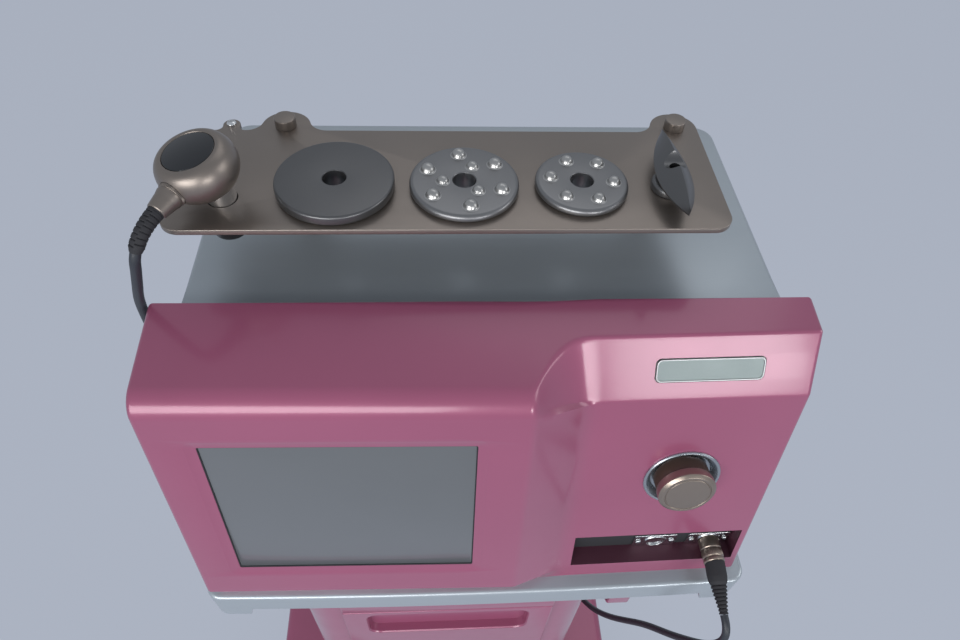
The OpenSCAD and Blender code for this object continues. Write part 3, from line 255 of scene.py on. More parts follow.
def rectangle(w, d, r, n=8, x=0.0, y=0.0):
    """A rounded rectangle's outline, anticlockwise, centred on x, y."""
    c = [(-w / 2, -d / 2), (w / 2, -d / 2), (w / 2, d / 2), (-w / 2, d / 2)]
    return rounded([(x + a, y + b) for a, b in c], [r] * 4, n)


def arc(x, y, r, start, end, n=16):
    """n points of a circle's arc from one angle to the other, in degrees."""
    a = np.radians(np.linspace(start, end, n))
    return np.stack([x + r * np.cos(a), y + r * np.sin(a)], 1)


# ---- surfaces ----

def grid(points, wrap_u=False, wrap_v=False):
    """Faces of a grid of points (nu, nv, 3): each cell is one quad, and a wrapped way joins its last row to
    its first."""
    nu, nv = points.shape[:2]
    i = np.arange(nu if wrap_u else nu - 1)[:, None]
    j = np.arange(nv if wrap_v else nv - 1)[None, :]
    i2, j2 = (i + 1) % nu, (j + 1) % nv
    quads = np.stack([i * nv + j, i2 * nv + j, i2 * nv + j2, i * nv + j2], -1).reshape(-1, 4)
    return points.reshape(-1, 3), [list(map(int, q)) for q in quads]


def loft(rings, caps=True):
    """A skin over closed rings of points (n, m, 3), with a flat face over each end."""
    points, faces = grid(rings, wrap_v=True)
    n, m = rings.shape[:2]
    if caps:
        faces += [list(range(m)), list(range((n - 1) * m, n * m))]
    return points, faces


def revolve(profile, steps=96, closed=False):
    """A profile of (radius, height) turned round +Z: x = r cos a, y = r sin a."""
    p = np.asarray(profile, float)
    a = np.linspace(0, 2 * np.pi, steps, endpoint=False)[:, None]
    points = np.stack([p[None, :, 0] * np.cos(a), p[None, :, 0] * np.sin(a),
                       np.broadcast_to(p[None, :, 1], (steps, len(p)))], -1)
    return grid(points, wrap_u=True, wrap_v=closed)


def cylinder(radius, low, high, steps=64):
    return revolve([(0, low), (radius, low), (radius, high), (0, high)], steps)


def ridged(count, depth, steps):
    """A ring with ridges round it. Each step is (radius, height, share): the radius swings by that share of
    the depth as the cosine of count times the angle."""
    a = np.linspace(0, 2 * np.pi, 4 * count, endpoint=False)
    wave = depth * np.cos(count * a)
    return loft(np.stack([level(np.column_stack([(r + share * wave) * np.cos(a),
                                                 (r + share * wave) * np.sin(a)]), z)
                          for r, z, share in steps]))


def level(outline, height):
    """An outline's points at one height, or each at its own."""
    return np.column_stack([outline, np.full(len(outline), height)])


def inwards(outline):
    """The unit normals of a closed outline that runs anticlockwise, towards its inside."""
    tangent = unit(np.roll(outline, -1, 0) - np.roll(outline, 1, 0))
    return np.stack([-tangent[:, 1], tangent[:, 0]], 1)


def raised(outline, steps):
    """A closed outline carried up a list of (inset, height): each ring is the outline moved inwards along its
    normals, and the first and last rings are closed flat."""
    normals = inwards(outline)
    return loft(np.stack([level(outline + normals * d, h) for d, h in steps]))


def bevelled(low, high, r, n=3):
    """The (inset, height) steps of a block from low to high whose top and bottom edges are rounded by r."""
    a = np.linspace(0, np.pi / 2, n + 1)
    rise = [(r * (1 - math.sin(t)), low + r * (1 - math.cos(t))) for t in a]
    return rise + [(d, low + high - h) for d, h in reversed(rise)]


def joined(*shapes):
    """Several (points, faces) as one."""
    points, faces, start = [], [], 0
    for p, f in shapes:
        points.append(p)
        faces += [[i + start for i in face] for face in f]
        start += len(p)
    return np.concatenate(points), faces


def moved(shape, shift=(0, 0, 0), turn=None):
    """A shape turned by a 3 by 3 matrix and then shifted."""
    p = shape[0] if turn is None else shape[0] @ np.asarray(turn, float).T
    return p + np.asarray(shift, float), shape[1]


def turn_x(a):
    return np.array([[1, 0, 0], [0, math.cos(a), -math.sin(a)], [0, math.sin(a), math.cos(a)]])


def turn_y(a):
    return np.array([[math.cos(a), 0, math.sin(a)], [0, 1, 0], [-math.sin(a), 0, math.cos(a)]])


def turn_z(a):
    return np.array([[math.cos(a), -math.sin(a), 0], [math.sin(a), math.cos(a), 0], [0, 0, 1]])


def tube(path, radius, sides=20):
    """A round tube along a path of points: each ring stands square to the path, on two axes made from the
    tangent and one fixed direction that the path never runs along. Its end rings are closed."""
    f = unit(np.gradient(path, axis=0))
    s = unit(np.cross(f, np.array([1.0, 1.0, 1.0])))
    v = np.cross(f, s)
    a = np.linspace(0, 2 * np.pi, sides, endpoint=False)
    r = np.broadcast_to(radius, len(path))[:, None, None]
    ring = np.cos(a)[None, :, None] * s[:, None, :] + np.sin(a)[None, :, None] * v[:, None, :]
    return loft(path[:, None, :] + r * ring)


def smooth_path(route, spacing):
    """A smooth curve through a route's points: a natural cubic spline over the chord length, which keeps the
    bending even, and then points at equal distances along it."""
    p = np.asarray(route, float)
    t = np.concatenate([[0], np.cumsum(np.linalg.norm(np.diff(p, axis=0), axis=1))])
    h = np.diff(t)
    n = len(p)
    m = np.zeros((n, n))
    m[0, 0] = m[-1, -1] = 1
    k = np.arange(1, n - 1)
    m[k, k - 1], m[k, k], m[k, k + 1] = h[:-1], 2 * (h[:-1] + h[1:]), h[1:]
    right = np.zeros_like(p)
    slope = np.diff(p, axis=0) / h[:, None]
    right[1:-1] = 6 * (slope[1:] - slope[:-1])
    c = np.linalg.solve(m, right)
    at = np.linspace(0, t[-1], 4000)
    i = np.clip(np.searchsorted(t, at, side="right") - 1, 0, n - 2)
    a, b = (t[i + 1] - at)[:, None], (at - t[i])[:, None]
    hi = h[i][:, None]
    q = (c[i] * a ** 3 + c[i + 1] * b ** 3) / (6 * hi) \
        + (p[i] / hi - c[i] * hi / 6) * a + (p[i + 1] / hi - c[i + 1] * hi / 6) * b
    along = np.concatenate([[0], np.cumsum(np.linalg.norm(np.diff(q, axis=0), axis=1))])
    even = np.linspace(0, along[-1], int(along[-1] / spacing))
    return np.stack([np.interp(even, along, q[:, axis]) for axis in range(3)], 1), float(along[-1])


# ---- placing ----

def on_face(shape, lean, side, foot):
    """A shape drawn on one of the console's faces, x across, y up the face and z out of it, put in its place:
    turned up from flat by 90 degrees less the face's lean, moved to the face's foot and turned about the
    middle."""
    p = shape[0] @ turn_x(math.pi / 2 - lean).T + np.array([0, foot[0], foot[1]])
    return p @ turn_z(side * FACE_TURN).T + FOOT, shape[1]


def on_pod(shape):
    return on_face(shape, POD_LEAN, -1, (0, CHIN))


def on_panel(shape):
    return on_face(shape, PANEL_LEAN, 1, (FOOT_SET, 0))


def on_band(shape):
    return on_face(shape, BAND_LEAN, 1, tuple(FACE_TOP))


def at_knob(shape):
    return on_panel(moved(shape, (KNOB_X, KNOB_UP, 0)))


def at_socket(shape, k):
    """A shape on socket k, 0 for the lead's, with +Z out of the recess."""
    p = shape[0] @ turn_x(math.pi / 2).T + np.array([SOCKET_X - k * SOCKET_GAP, SOCKET_Y, SOCKET_Z])
    return p @ turn_z(FACE_TURN).T + FOOT, shape[1]


def at_tool(shape, k):
    return moved(shape, FOOT + np.array([TOOLS_X[k], TOOL_Y, PLATE_TOP]))


def along_neck(shape):
    return moved(shape, FOOT + BALL, turn_z(NECK_TURN) @ turn_x(math.pi / 2 + NECK_DIP))


# ---- meshes and objects ----

def mesh_of(name, shape):
    """A mesh with its doubles merged, its poles closed and its faces turned outwards."""
    points, faces = shape
    mesh = bpy.data.meshes.new(name)
    mesh.from_pydata(points.tolist(), [], faces)
    bm = bmesh.new()
    bm.from_mesh(mesh)
    bmesh.ops.remove_doubles(bm, verts=bm.verts, dist=2e-6)
    bmesh.ops.dissolve_degenerate(bm, dist=1e-7, edges=bm.edges)
    bmesh.ops.recalc_face_normals(bm, faces=bm.faces)
    bm.to_mesh(mesh)
    bm.free()
    return mesh


def smooth(mesh, angle=32):
    mesh.polygons.foreach_set("use_smooth", np.ones(len(mesh.polygons), bool))
    mesh.set_sharp_from_angle(angle=math.radians(angle))
    mesh.update()


def solid(name, shape):
    """An object that isn't dressed yet, such as a cutter."""
    obj = bpy.data.objects.new(name, mesh_of(name, shape))
    bpy.context.scene.collection.objects.link(obj)
    return obj


def carve(obj, *cutters):
    """Takes the cutters out of obj exactly, and deletes them."""
    for cutter in cutters:
        cut = obj.modifiers.new("cut", "BOOLEAN")
        cut.operation, cut.solver, cut.object = "DIFFERENCE", "EXACT", cutter
    graph = bpy.context.evaluated_depsgraph_get()
    mesh = bpy.data.meshes.new_from_object(obj.evaluated_get(graph))
    obj.modifiers.clear()
    obj.data = mesh
    for cutter in cutters:
        bpy.data.objects.remove(cutter)


def dress(obj, look, body, stands_for=(), angle=32, parts=()):
    """Smooths a piece, gives it its finish and those of its parts, and lets it ride on its body in place of
    the nodes it stands for."""
    smooth(obj.data, angle)
    obj.data.materials.clear()
    for name in (look, *parts):
        obj.data.materials.append(finish(name))
    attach(obj, body)
    if stands_for:
        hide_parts(*stands_for)
    return obj


def piece(name, shape, look, body, stands_for=(), angle=32):
    return dress(solid(name, shape), look, body, stands_for, angle)


def repaint(look, *nodes):
    """Gives carried-over nodes a finish."""
    for n in nodes:
        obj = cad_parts[n]
        obj.data.materials.clear()
        obj.data.materials.append(finish(look))


# ---- shader expressions ----

class Value:
    """A socket of a material's node tree. Sums, differences, products and quotients of it add the Math nodes
    that work them out."""

    def __init__(self, tree, socket):
        self.tree, self.socket = tree, socket

    def math(self, operation, *others, clamp=False):
        node = self.tree.nodes.new("ShaderNodeMath")
        node.operation, node.use_clamp = operation, clamp
        for k, term in enumerate((self, *others)):
            join(self.tree, node.inputs[k], term)
        return Value(self.tree, node.outputs[0])

    def __add__(self, o): return self.math("ADD", o)
    def __radd__(self, o): return self.math("ADD", o)
    def __sub__(self, o): return self.math("SUBTRACT", o)
    def __mul__(self, o): return self.math("MULTIPLY", o)
    def __rmul__(self, o): return self.math("MULTIPLY", o)
    def __truediv__(self, o): return self.math("DIVIDE", o)

    def clamp(self): return self.math("ADD", 0.0, clamp=True)
    def sine(self): return self.math("SINE")


def join(tree, socket, value):
    """Puts a value, or a link, into a node's socket."""
    if isinstance(value, Value):
        tree.links.new(value.socket, socket)
    elif socket.type == "RGBA" and len(value) == 3:
        socket.default_value = (*value, 1)
    else:
        socket.default_value = value


class Finish:
    """A material being built: its tree, its Principled shader and calls that add nodes."""

    def __init__(self, name, **constants):
        self.material = bpy.data.materials.new(name)
        self.material.use_nodes = True
        self.tree = self.material.node_tree
        self.tree.nodes.clear()
        self.out = self.tree.nodes.new("ShaderNodeOutputMaterial")
        self.shader = self.tree.nodes.new("ShaderNodeBsdfPrincipled")
        self.tree.links.new(self.shader.outputs[0], self.out.inputs[0])
        self.set(**constants)

    def set(self, **values):
        """Sets the shader's sockets: coat_weight is Coat Weight."""
        for key, value in values.items():
            join(self.tree, self.shader.inputs[key.replace("_", " ").title().replace("Ior", "IOR")], value)
        return self

    def node(self, kind, settings=None, inputs=None, output=0):
        """Any other node: its settings first, then its sockets, then one of its outputs."""
        n = self.tree.nodes.new(kind)
        for key, value in (settings or {}).items():
            setattr(n, key, value)
        for key, value in (inputs or {}).items():
            join(self.tree, n.inputs[key], value)
        return Value(self.tree, n.outputs[output])

    def place(self):
        return self.node("ShaderNodeTexCoord", output="Object")

    def local(self, centre=(0, 0, 0), turn=(0, 0, 0), scale=(1, 1, 1)):
        """The piece's own coordinates, measured from a centre along turned and scaled axes."""
        return self.node("ShaderNodeMapping", {"vector_type": "TEXTURE"}, {
            "Vector": self.place(), "Location": tuple(centre), "Rotation": turn,
            "Scale": tuple(1 / s for s in scale)})

    def rings(self, vector, waves):
        """Rings round the third axis of some coordinates: half the sine of radius times waves plus a half."""
        flat = self.node("ShaderNodeVectorMath", {"operation": "MULTIPLY"}, {0: vector, 1: (1, 1, 0)})
        radius = self.node("ShaderNodeVectorMath", {"operation": "LENGTH"}, {0: flat}, "Value")
        return (radius * waves).sine() * 0.5 + 0.5

    def noise(self, scale, detail=3, vector=None):
        return self.node("ShaderNodeTexNoise", None, {
            "Vector": vector or self.place(), "Scale": scale, "Detail": detail, "Roughness": 0.5})

    def mix(self, a, b, factor):
        return self.node("ShaderNodeMix", {"data_type": "RGBA"}, {0: factor, 6: a, 7: b}, 2)

    def done(self, base, roughness, height=None, strength=0.0, distance=0.0):
        """The material, once it has its colour, its roughness and, where a height is given, its bump."""
        self.set(base_color=base, roughness=roughness)
        if height is not None:
            self.set(normal=self.node("ShaderNodeBump", None, {
                "Strength": strength, "Distance": distance, "Height": height}))
        return self.material

    def tinted(self, base, factor, low=0.92, high=1.06):
        """A colour that varies between a darker and a lighter tone of itself."""
        return self.mix([c * low for c in base], [min(1, c * high) for c in base], factor)


def pearl_paint(name):
    """Pink pearl lacquer: fine flakes and a slight orange peel under a clear coat."""
    f = Finish(name, metallic=0.15, coat_weight=0.8, coat_roughness=0.15, specular_ior_level=0.3)
    cloud, flake, peel = f.noise(9, 3), f.noise(1400, 1), f.noise(420, 2)
    base = f.tinted(colours().pink, 0.75 * cloud + 0.25 * flake, 0.90, 1.10)
    return f.done(base, 0.30 + 0.12 * f.noise(40, 4), peel, 0.06, 0.0004)


def recess_paint(name):
    """The same pink in the socket recess, darkened as painted shade for the inside of the recess, and duller.
    """
    f = Finish(name, coat_weight=0.1, coat_roughness=0.3)
    # painted shade: the recess's pink is darkened to a fifth of its tone
    base = f.tinted([0.22 * c for c in colours().pink], f.noise(30, 3), 0.85, 1.10)
    return f.done(base, 0.42 + 0.12 * f.noise(60, 3))


def silver_paint(name):
    """Satin silver lacquer over brushed sheet, with soft clouds of tone."""
    f = Finish(name, metallic=0.55, coat_weight=0.15, coat_roughness=0.25)
    brushed = f.noise(18, 4, f.local(scale=(1, 60, 60)))
    base = f.tinted(colours().silver, 0.6 * f.noise(5, 3) + 0.4 * brushed, 0.92, 1.05)
    return f.done(base, 0.30 + 0.14 * brushed, brushed, 0.03, 0.0003)


def blasted_bronze(name):
    """Bead-blasted bronze anodising: fine matt grain with a warm tone."""
    f = Finish(name, metallic=0.85)
    grain, cloud = f.noise(2600, 2), f.noise(14, 3)
    base = f.tinted(colours().bronze, 0.6 * cloud + 0.4 * grain, 0.88, 1.08)
    return f.done(base, 0.32 + 0.12 * f.noise(60, 4), grain, 0.10, 0.0002)


def gunmetal(name, tool, lift=1.0):
    """Dark satin metal, its tone times lift, with faint turning rings about the axis of tool 0 to 3."""
    f = Finish(name, metallic=0.85)
    centre = FOOT + np.array([TOOLS_X[tool], TOOL_Y, 0])
    away = f.node("ShaderNodeVectorMath", {"operation": "SUBTRACT"}, {0: f.place(), 1: tuple(centre)})
    rings = f.rings(away, 9000)
    grain = f.noise(900, 2)
    shade = 0.5 * f.noise(25, 3) + 0.3 * rings + 0.2 * grain
    base = f.tinted([lift * c for c in colours().gunmetal], shade, 0.88, 1.10)
    return f.done(base, 0.30 + 0.10 * grain, rings, 0.02, 0.0001)


def plain_metal(name, tone, roughness, metallic=0.9, grain=1500, depth=0.04):
    """Metal with a fine grain and slight patches of roughness."""
    f = Finish(name, metallic=metallic)
    fine, patch = f.noise(grain, 2), f.noise(80, 3)
    base = f.tinted(getattr(colours(), tone), 0.5 * fine + 0.5 * patch, 0.92, 1.05)
    return f.done(base, roughness + 0.10 * patch, fine, depth, 0.0001)


def turned_metal(name, tone, roughness):
    """Metal turned on a lathe: fine rings about the knob's axis."""
    f = Finish(name, metallic=0.9)
    centre = at_knob((np.zeros((1, 3)), []))[0][0]
    axis_turn = (math.pi / 2 - PANEL_LEAN, 0, FACE_TURN)
    rings = f.rings(f.local(centre, axis_turn), 12000)
    base = f.tinted(getattr(colours(), tone), 0.6 * f.noise(70, 3) + 0.4 * rings, 0.90, 1.06)
    return f.done(base, roughness + 0.08 * f.noise(200, 2), rings, 0.015, 0.0001)


def moulded(name, tone, roughness, grain=1800, depth=0.10, coat=0.0):
    """Moulded plastic or rubber with a fine matt grain."""
    f = Finish(name, coat_weight=coat, coat_roughness=0.08)
    fine, patch = f.noise(grain, 2), f.noise(45, 3)
    base = f.tinted(getattr(colours(), tone), 0.5 * fine + 0.5 * patch, 0.82, 1.15)
    return f.done(base, roughness + 0.12 * patch, fine, depth, 0.0002)


def screen_pane(name):
    """The unlit screen: grey behind glass, with a painted reflection that makes it a little lighter towards
    its top.
    """
    f = Finish(name, coat_weight=0.6, coat_roughness=0.06)
    height = f.node("ShaderNodeSeparateXYZ", None, {0: f.place()}, "Z")
    # painted reflection: the pane's grey grows lighter with height up the screen
    rise = ((height - (FOOT[2] + SCREEN_UP)) / SCREEN_H).clamp()
    base = f.tinted(colours().screen, 0.7 * rise + 0.3 * f.noise(30, 2), 0.90, 1.04)
    return f.done(base, 0.30 + 0.04 * f.noise(900, 2))


def circuit_board(name):
    """Green solder mask with the lighter lines of its tracks."""
    f = Finish(name, coat_weight=0.3, coat_roughness=0.2)
    cells = f.node("ShaderNodeTexVoronoi", {"distance": "MANHATTAN"}, {"Vector": f.place(), "Scale": 160},
                   "Distance")
    track = (cells * 3 - 0.6).clamp()
    base = f.mix(colours().board, [min(1, 1.6 * c) for c in colours().board], track)
    return f.done(base, 0.35 + 0.15 * track)


def finish(name):
    """A finish by its name, made once: FINISHES holds its maker and what the maker takes besides the name."""
    made = bpy.data.materials.get(name)
    if made is None:
        maker, options = FINISHES[name]
        made = maker(name, **options)
    return made


FINISHES = {
    "pearl_paint": (pearl_paint, {}),
    "recess_paint": (recess_paint, {}),
    "silver_paint": (silver_paint, {}),
    "blasted_bronze": (blasted_bronze, {}),
    "screen_pane": (screen_pane, {}),
    "circuit_board": (circuit_board, {}),
    "gunmetal_plain": (gunmetal, dict(tool=0)),
    "gunmetal_nine": (gunmetal, dict(tool=1, lift=1.6)),
    "gunmetal_six": (gunmetal, dict(tool=2, lift=1.6)),
    "gunmetal_blade": (gunmetal, dict(tool=3)),
    "bezel_metal": (turned_metal, dict(tone="bezel", roughness=0.24)),
    "champagne": (turned_metal, dict(tone="champagne", roughness=0.26)),
    "plug_metal": (plain_metal, dict(tone="champagne", roughness=0.26, grain=900)),
    "bead_metal": (plain_metal, dict(tone="bead", roughness=0.27)),
    "bright_steel": (plain_metal, dict(tone="steel", roughness=0.20)),
    "sheet_steel": (plain_metal, dict(tone="sheet", roughness=0.38, grain=400, depth=0.06)),
    "plate_face": (plain_metal, dict(tone="label", roughness=0.40, metallic=0.5, grain=700, depth=0.05)),
    # the knob's skirt: bronze darkened by painted shade
    "knob_brown": (moulded, dict(tone="brown", roughness=0.28, coat=0.3)),
    "display": (moulded, dict(tone="display", roughness=0.12, grain=300, depth=0.0, coat=0.4)),
    "black_plastic": (moulded, dict(tone="black", roughness=0.45)),
    "gloss_black": (moulded, dict(tone="black", roughness=0.22, depth=0.02)),
    "lead_rubber": (moulded, dict(tone="lead", roughness=0.42, grain=900, depth=0.06)),
    "wheel_rubber": (moulded, dict(tone="wheel", roughness=0.55, grain=600)),
    "switch_red": (moulded, dict(tone="red", roughness=0.20, depth=0.02, coat=0.4)),
}


# ---- the front shell's form ----

def corners_of_section():
    """Corners of the pod's outline and of the set-back panel's outline, in y and z."""
    top = np.array([SHELL_DEPTH, SHELL_HEIGHT])
    along_top = top - 0.1 * np.array([1, math.tan(TOP_FALL)])
    chin = np.array([0, CHIN])
    pod_top = meet(chin, chin + np.array([math.sin(POD_LEAN), math.cos(POD_LEAN)]), top, along_top)
    face_top = np.array([FOOT_SET + PANEL_HEIGHT * math.tan(PANEL_LEAN), PANEL_HEIGHT])
    band_top = meet(face_top, face_top + np.array([math.sin(BAND_LEAN), math.cos(BAND_LEAN)]), top, along_top)
    return top, pod_top, face_top, band_top


TOP_EDGE, POD_TOP, FACE_TOP, BAND_TOP = corners_of_section()


def line(a, b, n):
    """n points from a towards b, without b."""
    return np.asarray(a) + np.linspace(0, 1, n, endpoint=False)[:, None] * (np.asarray(b) - np.asarray(a))


def split(outline, parts):
    """A closed outline whose sides are cut into equal parts, each side into its own number of them."""
    return np.concatenate([line(a, b, n) for a, b, n in zip(outline, np.roll(outline, -1, 0), parts)])


def pod_section(d, bend):
    """The pod's outline moved in by d: bottom, back, top, bend, face and chin, 109 points in all."""
    a, b, c, t, e = inset([(FOOT_SET, 0), (SHELL_DEPTH, 0), TOP_EDGE, POD_TOP, (0, CHIN)], d)
    back = corner(b, c, t, max(0.0025 - d[1], 0.0004), 4)
    turn = corner(c, t, e, max(bend - max(d[3], 0), 0.001), 28)
    chin = corner(t, e, a, max(0.003 - max(d[3], 0), 0.0004), 5)
    return np.concatenate([line(a, b, 4), line(b, back[0], 8), back[:-1], line(back[-1], turn[0], 21), turn,
                           line(turn[-1], chin[0], 37)[1:], chin, line(chin[-1], a, 5)[1:]])


def panel_section(d):
    """The set-back side's outline moved in by d, with as many points as the pod's: its two soft corners and
    the band between them stand for the pod's bend."""
    a, b, c, t, f = inset([(FOOT_SET, 0), (SHELL_DEPTH, 0), TOP_EDGE, BAND_TOP, FACE_TOP], d)
    back = corner(b, c, t, max(0.0025 - d[1], 0.0004), 4)
    upper = corner(c, t, f, max(0.0035 - max(d[3], 0), 0.0005), 7)
    lower = corner(t, f, a, max(0.010 - max(d[3], 0), 0.002), 8)
    bend = np.concatenate([upper, line(upper[-1], lower[0], 14)[1:], lower])
    chin = f + (a - f) * (1 - CHIN / PANEL_HEIGHT)
    return np.concatenate([line(a, b, 4), line(b, back[0], 8), back[:-1], line(back[-1], bend[0], 21), bend,
                           line(bend[-1], chin, 37)[1:], line(chin, a, 9)])


def soft_ramp(x, start, end, soft_start, soft_end):
    """A straight ramp from 0 to 1 whose two corners are rounded by parabolas as wide as each softness."""
    def corner_at(t, w):
        return np.where(t < -w, 0, np.where(t > w, t, (t + w) ** 2 / (4 * w)))
    return (corner_at(x - start, soft_start) - corner_at(x - end, soft_end)) / (end - start)


def shell_rings(half, d, lap, round_r, bend):
    """Rings of the shell across x. Each ring mixes the pod's and the panel's outlines: the share f of the
    panel is s on the face and 1 - (1 - s)^p above it, with p rising to 2.6 at the top, so the top's edge
    swings back first. The rings near the ends move in by a quarter circle."""
    theta = np.linspace(0, np.pi / 2, 7)
    ends = half - round_r * (1 - np.sin(theta))
    moves = round_r * (1 - np.cos(theta))
    x0, x1 = POD_EDGE - lap, PANEL_START - lap
    ramp_x = np.linspace(x0 - 0.004, x1 + 0.010, 56)
    x = np.concatenate([-ends[::-1], [x0 - 0.05], ramp_x, [x1 + 0.05], ends])
    m = np.concatenate([moves[::-1], np.zeros(len(ramp_x) + 2), moves])
    s = np.clip(soft_ramp(x, x0, x1, 0.0035, 0.009), 0, 1)
    rings = []
    for xi, mi, si in zip(x, m, s):
        grown = [k + mi for k in d]
        a, b = pod_section(grown, bend), panel_section(grown)
        k = np.arange(len(a))
        top_start, bend_start, face_start = 15, 36, 64
        q = np.clip((k - bend_start) / (face_start - bend_start), 0, 1)
        p = np.where(k < top_start, 1.0, 1 + 1.6 * (1 - q))
        f = 1 - (1 - si) ** p
        y = (a[:, 0] * (1 - f) + b[:, 0] * f + xi * math.sin(FACE_TURN) * (2 * f - 1)) / math.cos(FACE_TURN)
        z = a[:, 1] * (1 - f) + b[:, 1] * f
        limit = SHELL_DEPTH - d[1] - mi
        z = np.where(y > limit, z - (y - limit) * math.tan(TOP_FALL) * (z > 0.5 * SHELL_HEIGHT), z)
        y = np.where((k >= 4) & (k <= 12), limit, np.minimum(y, limit))
        rings.append(np.column_stack([np.full(len(a), xi), y, z]))
    return np.stack(rings)


def block(x, y, z, r=0.0, turn=None):
    """A box between two corners, as rings of its plan, its upright corners rounded by r."""
    w, d = x[1] - x[0], y[1] - y[0]
    outline = rectangle(w, d, max(r, 1e-5), 8 if r > 0 else 2, (x[0] + x[1]) / 2, (y[0] + y[1]) / 2)
    shape = raised(outline, [(0, z[0]), (0, z[1])])
    return shape if turn is None else moved(shape, turn=turn)


def node_block(name, node, gap_x=0.0, gap_y=0.0, gap_z=0.0):
    """A block over a node's box, wider by a gap at each side."""
    low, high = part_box(node)
    return solid(name, block((low.x - gap_x, high.x + gap_x), (low.y - gap_y, high.y + gap_y),
                             (low.z - gap_z, high.z + gap_z)))


def foot_block(name, *corners, turn=None):
    """A cutter: a block measured from the console's foot."""
    return solid(name, moved(block(*corners, turn=turn), FOOT))


def shell_pieces():
    size = sizes()
    wall = SHELL_WALL
    outer = shell_rings(SHELL_HALF, [0] * 5, 0, size.end_round, size.bend)
    shell = solid("console_front", moved(loft(outer), FOOT))
    # hollow inside, with a moulded sleeve left round the socket recess
    inner = shell_rings(SHELL_HALF - wall, [-0.005, wall, wall, wall, wall], wall, 0.001, size.bend)
    cavity = solid("cavity", moved(loft(inner), FOOT))
    sleeve = 0.0025
    face = turn_z(FACE_TURN)
    carve(cavity, foot_block("sleeve", (RECESS_X - sleeve, RECESS_X + RECESS_W + sleeve), (0, SOCKET_Y),
                             (RECESS_Z - sleeve, RECESS_Z + RECESS_H + sleeve), turn=face))
    recess = foot_block("recess", (RECESS_X, RECESS_X + RECESS_W), (-0.02, SOCKET_Y + 0.001),
                        (RECESS_Z, RECESS_Z + RECESS_H), turn=face)
    way = (COVER_HIGH.x - COVER_LOW.x) / 2 - 0.012
    back = foot_block("back_way", (-way, way), (SHELL_DEPTH - 0.010, SHELL_DEPTH + 0.001),
                      (-0.001, COVER_HEIGHT - 0.012))
    # the screen's surround slopes in from the face to the pane
    w, h = SCREEN_W / 2 + size.surround, SCREEN_H / 2 + size.surround
    slope = size.surround - 0.0008
    steps = [(-0.0002, 0.010), (-0.0002, 0.0001), (0.0006, -0.0002), (slope, -size.surround_deep)]
    spot = (-SCREEN_LEFT + SCREEN_W / 2, SCREEN_UP + SCREEN_H / 2)
    rings = [level(rectangle(2 * (w - d), 2 * (h - d), 0.006 - 0.0045 * max(d, 0) / slope, 6, *spot), z)
             for d, z in steps]
    hollow = solid("surround", on_pod(loft(np.stack(rings))))
    opening = solid("opening", on_pod(raised(rectangle(SCREEN_W, SCREEN_H, 0.0012, 3, *spot),
                                             [(0, -0.02), (0, 0.02)])))
    knob_hole = solid("knob_hole", at_knob(cylinder(BEZEL_R - 0.003, -0.02, 0.02, 96)))
    bed = rectangle(PLATE_W + 0.0016, PLATE_H + 0.0016, 0.0044, 6, KNOB_X, PLATE_UP)
    seat = solid("plate_seat", on_band(raised(bed, [(0, -0.0010), (0, 0.005)])))
    carve(shell, recess, back, hollow, opening, knob_hole, seat, cavity)
    dress(shell, "pearl_paint", "trolley", ["front_shell"], 28, ["recess_paint"])
    # the faces inside the socket recess get the pink darkened as painted shade
    count = len(shell.data.polygons)
    middle = np.empty(3 * count)
    shell.data.polygons.foreach_get("center", middle)
    middle = (middle.reshape(-1, 3) - FOOT) @ face
    x, y, z = middle.T
    front = FOOT_SET + z * math.tan(PANEL_LEAN)
    within = (y > front + 0.0008) & (y < SOCKET_Y + 0.0015)
    within &= np.abs(x - RECESS_X - RECESS_W / 2) < RECESS_W / 2 + 0.0002
    within &= np.abs(z - RECESS_Z - RECESS_H / 2) < RECESS_H / 2 + 0.0002
    shell.data.polygons.foreach_set("material_index", within.astype(np.int32))
    # the pane sits a little below the surround, in a black gasket
    pane = raised(rectangle(SCREEN_W - 0.0016, SCREEN_H - 0.0016, 0.001, 3, *spot),
                  bevelled(-wall, -0.0030, 0.0002, 2))
    piece("screen", on_pod(pane), "screen_pane", "trolley", ["screen_glass"])
    ring = [rectangle(SCREEN_W - d, SCREEN_H - d, 0.0011, 3, *spot) for d in (0.0002, 0.0002, 0.0015, 0.0015)]
    heights = (-wall, -size.surround_deep - 0.0002, -size.surround_deep - 0.0005, -wall)
    gasket = np.stack([level(r, h) for r, h in zip(ring, heights)])
    piece("screen_gasket", on_pod(grid(gasket, True, True)), "black_plastic", "trolley")


def nameplate_piece():
    """A bare grey plate inside a raised steel rim, on a black bed that shows as a thin line round it."""
    def outline(d):
        return rectangle(PLATE_W - 2 * d, PLATE_H - 2 * d, 0.0042 - 0.9 * d, 8, KNOB_X, PLATE_UP)

    bed = raised(outline(-0.0007), [(0, -0.0010), (0, -0.0002)])
    piece("nameplate_bed", on_band(bed), "gloss_black", "trolley")
    steps = [(0, -0.0002), (0, 0.0007), (0.0002, 0.0010), (0.0008, 0.0010), (0.0011, 0.0006),
             (0.0011, -0.0002)]
    rim = np.stack([level(outline(d), h) for d, h in steps])
    piece("nameplate_rim", on_band(grid(rim, True, True)), "sheet_steel", "trolley", (), 40)
    face = raised(outline(0.0011), [(0, -0.0001), (0, 0.0003), (0.0001, 0.0004)])
    piece("nameplate_face", on_band(face), "plate_face", "trolley", ["nameplate"], 40)


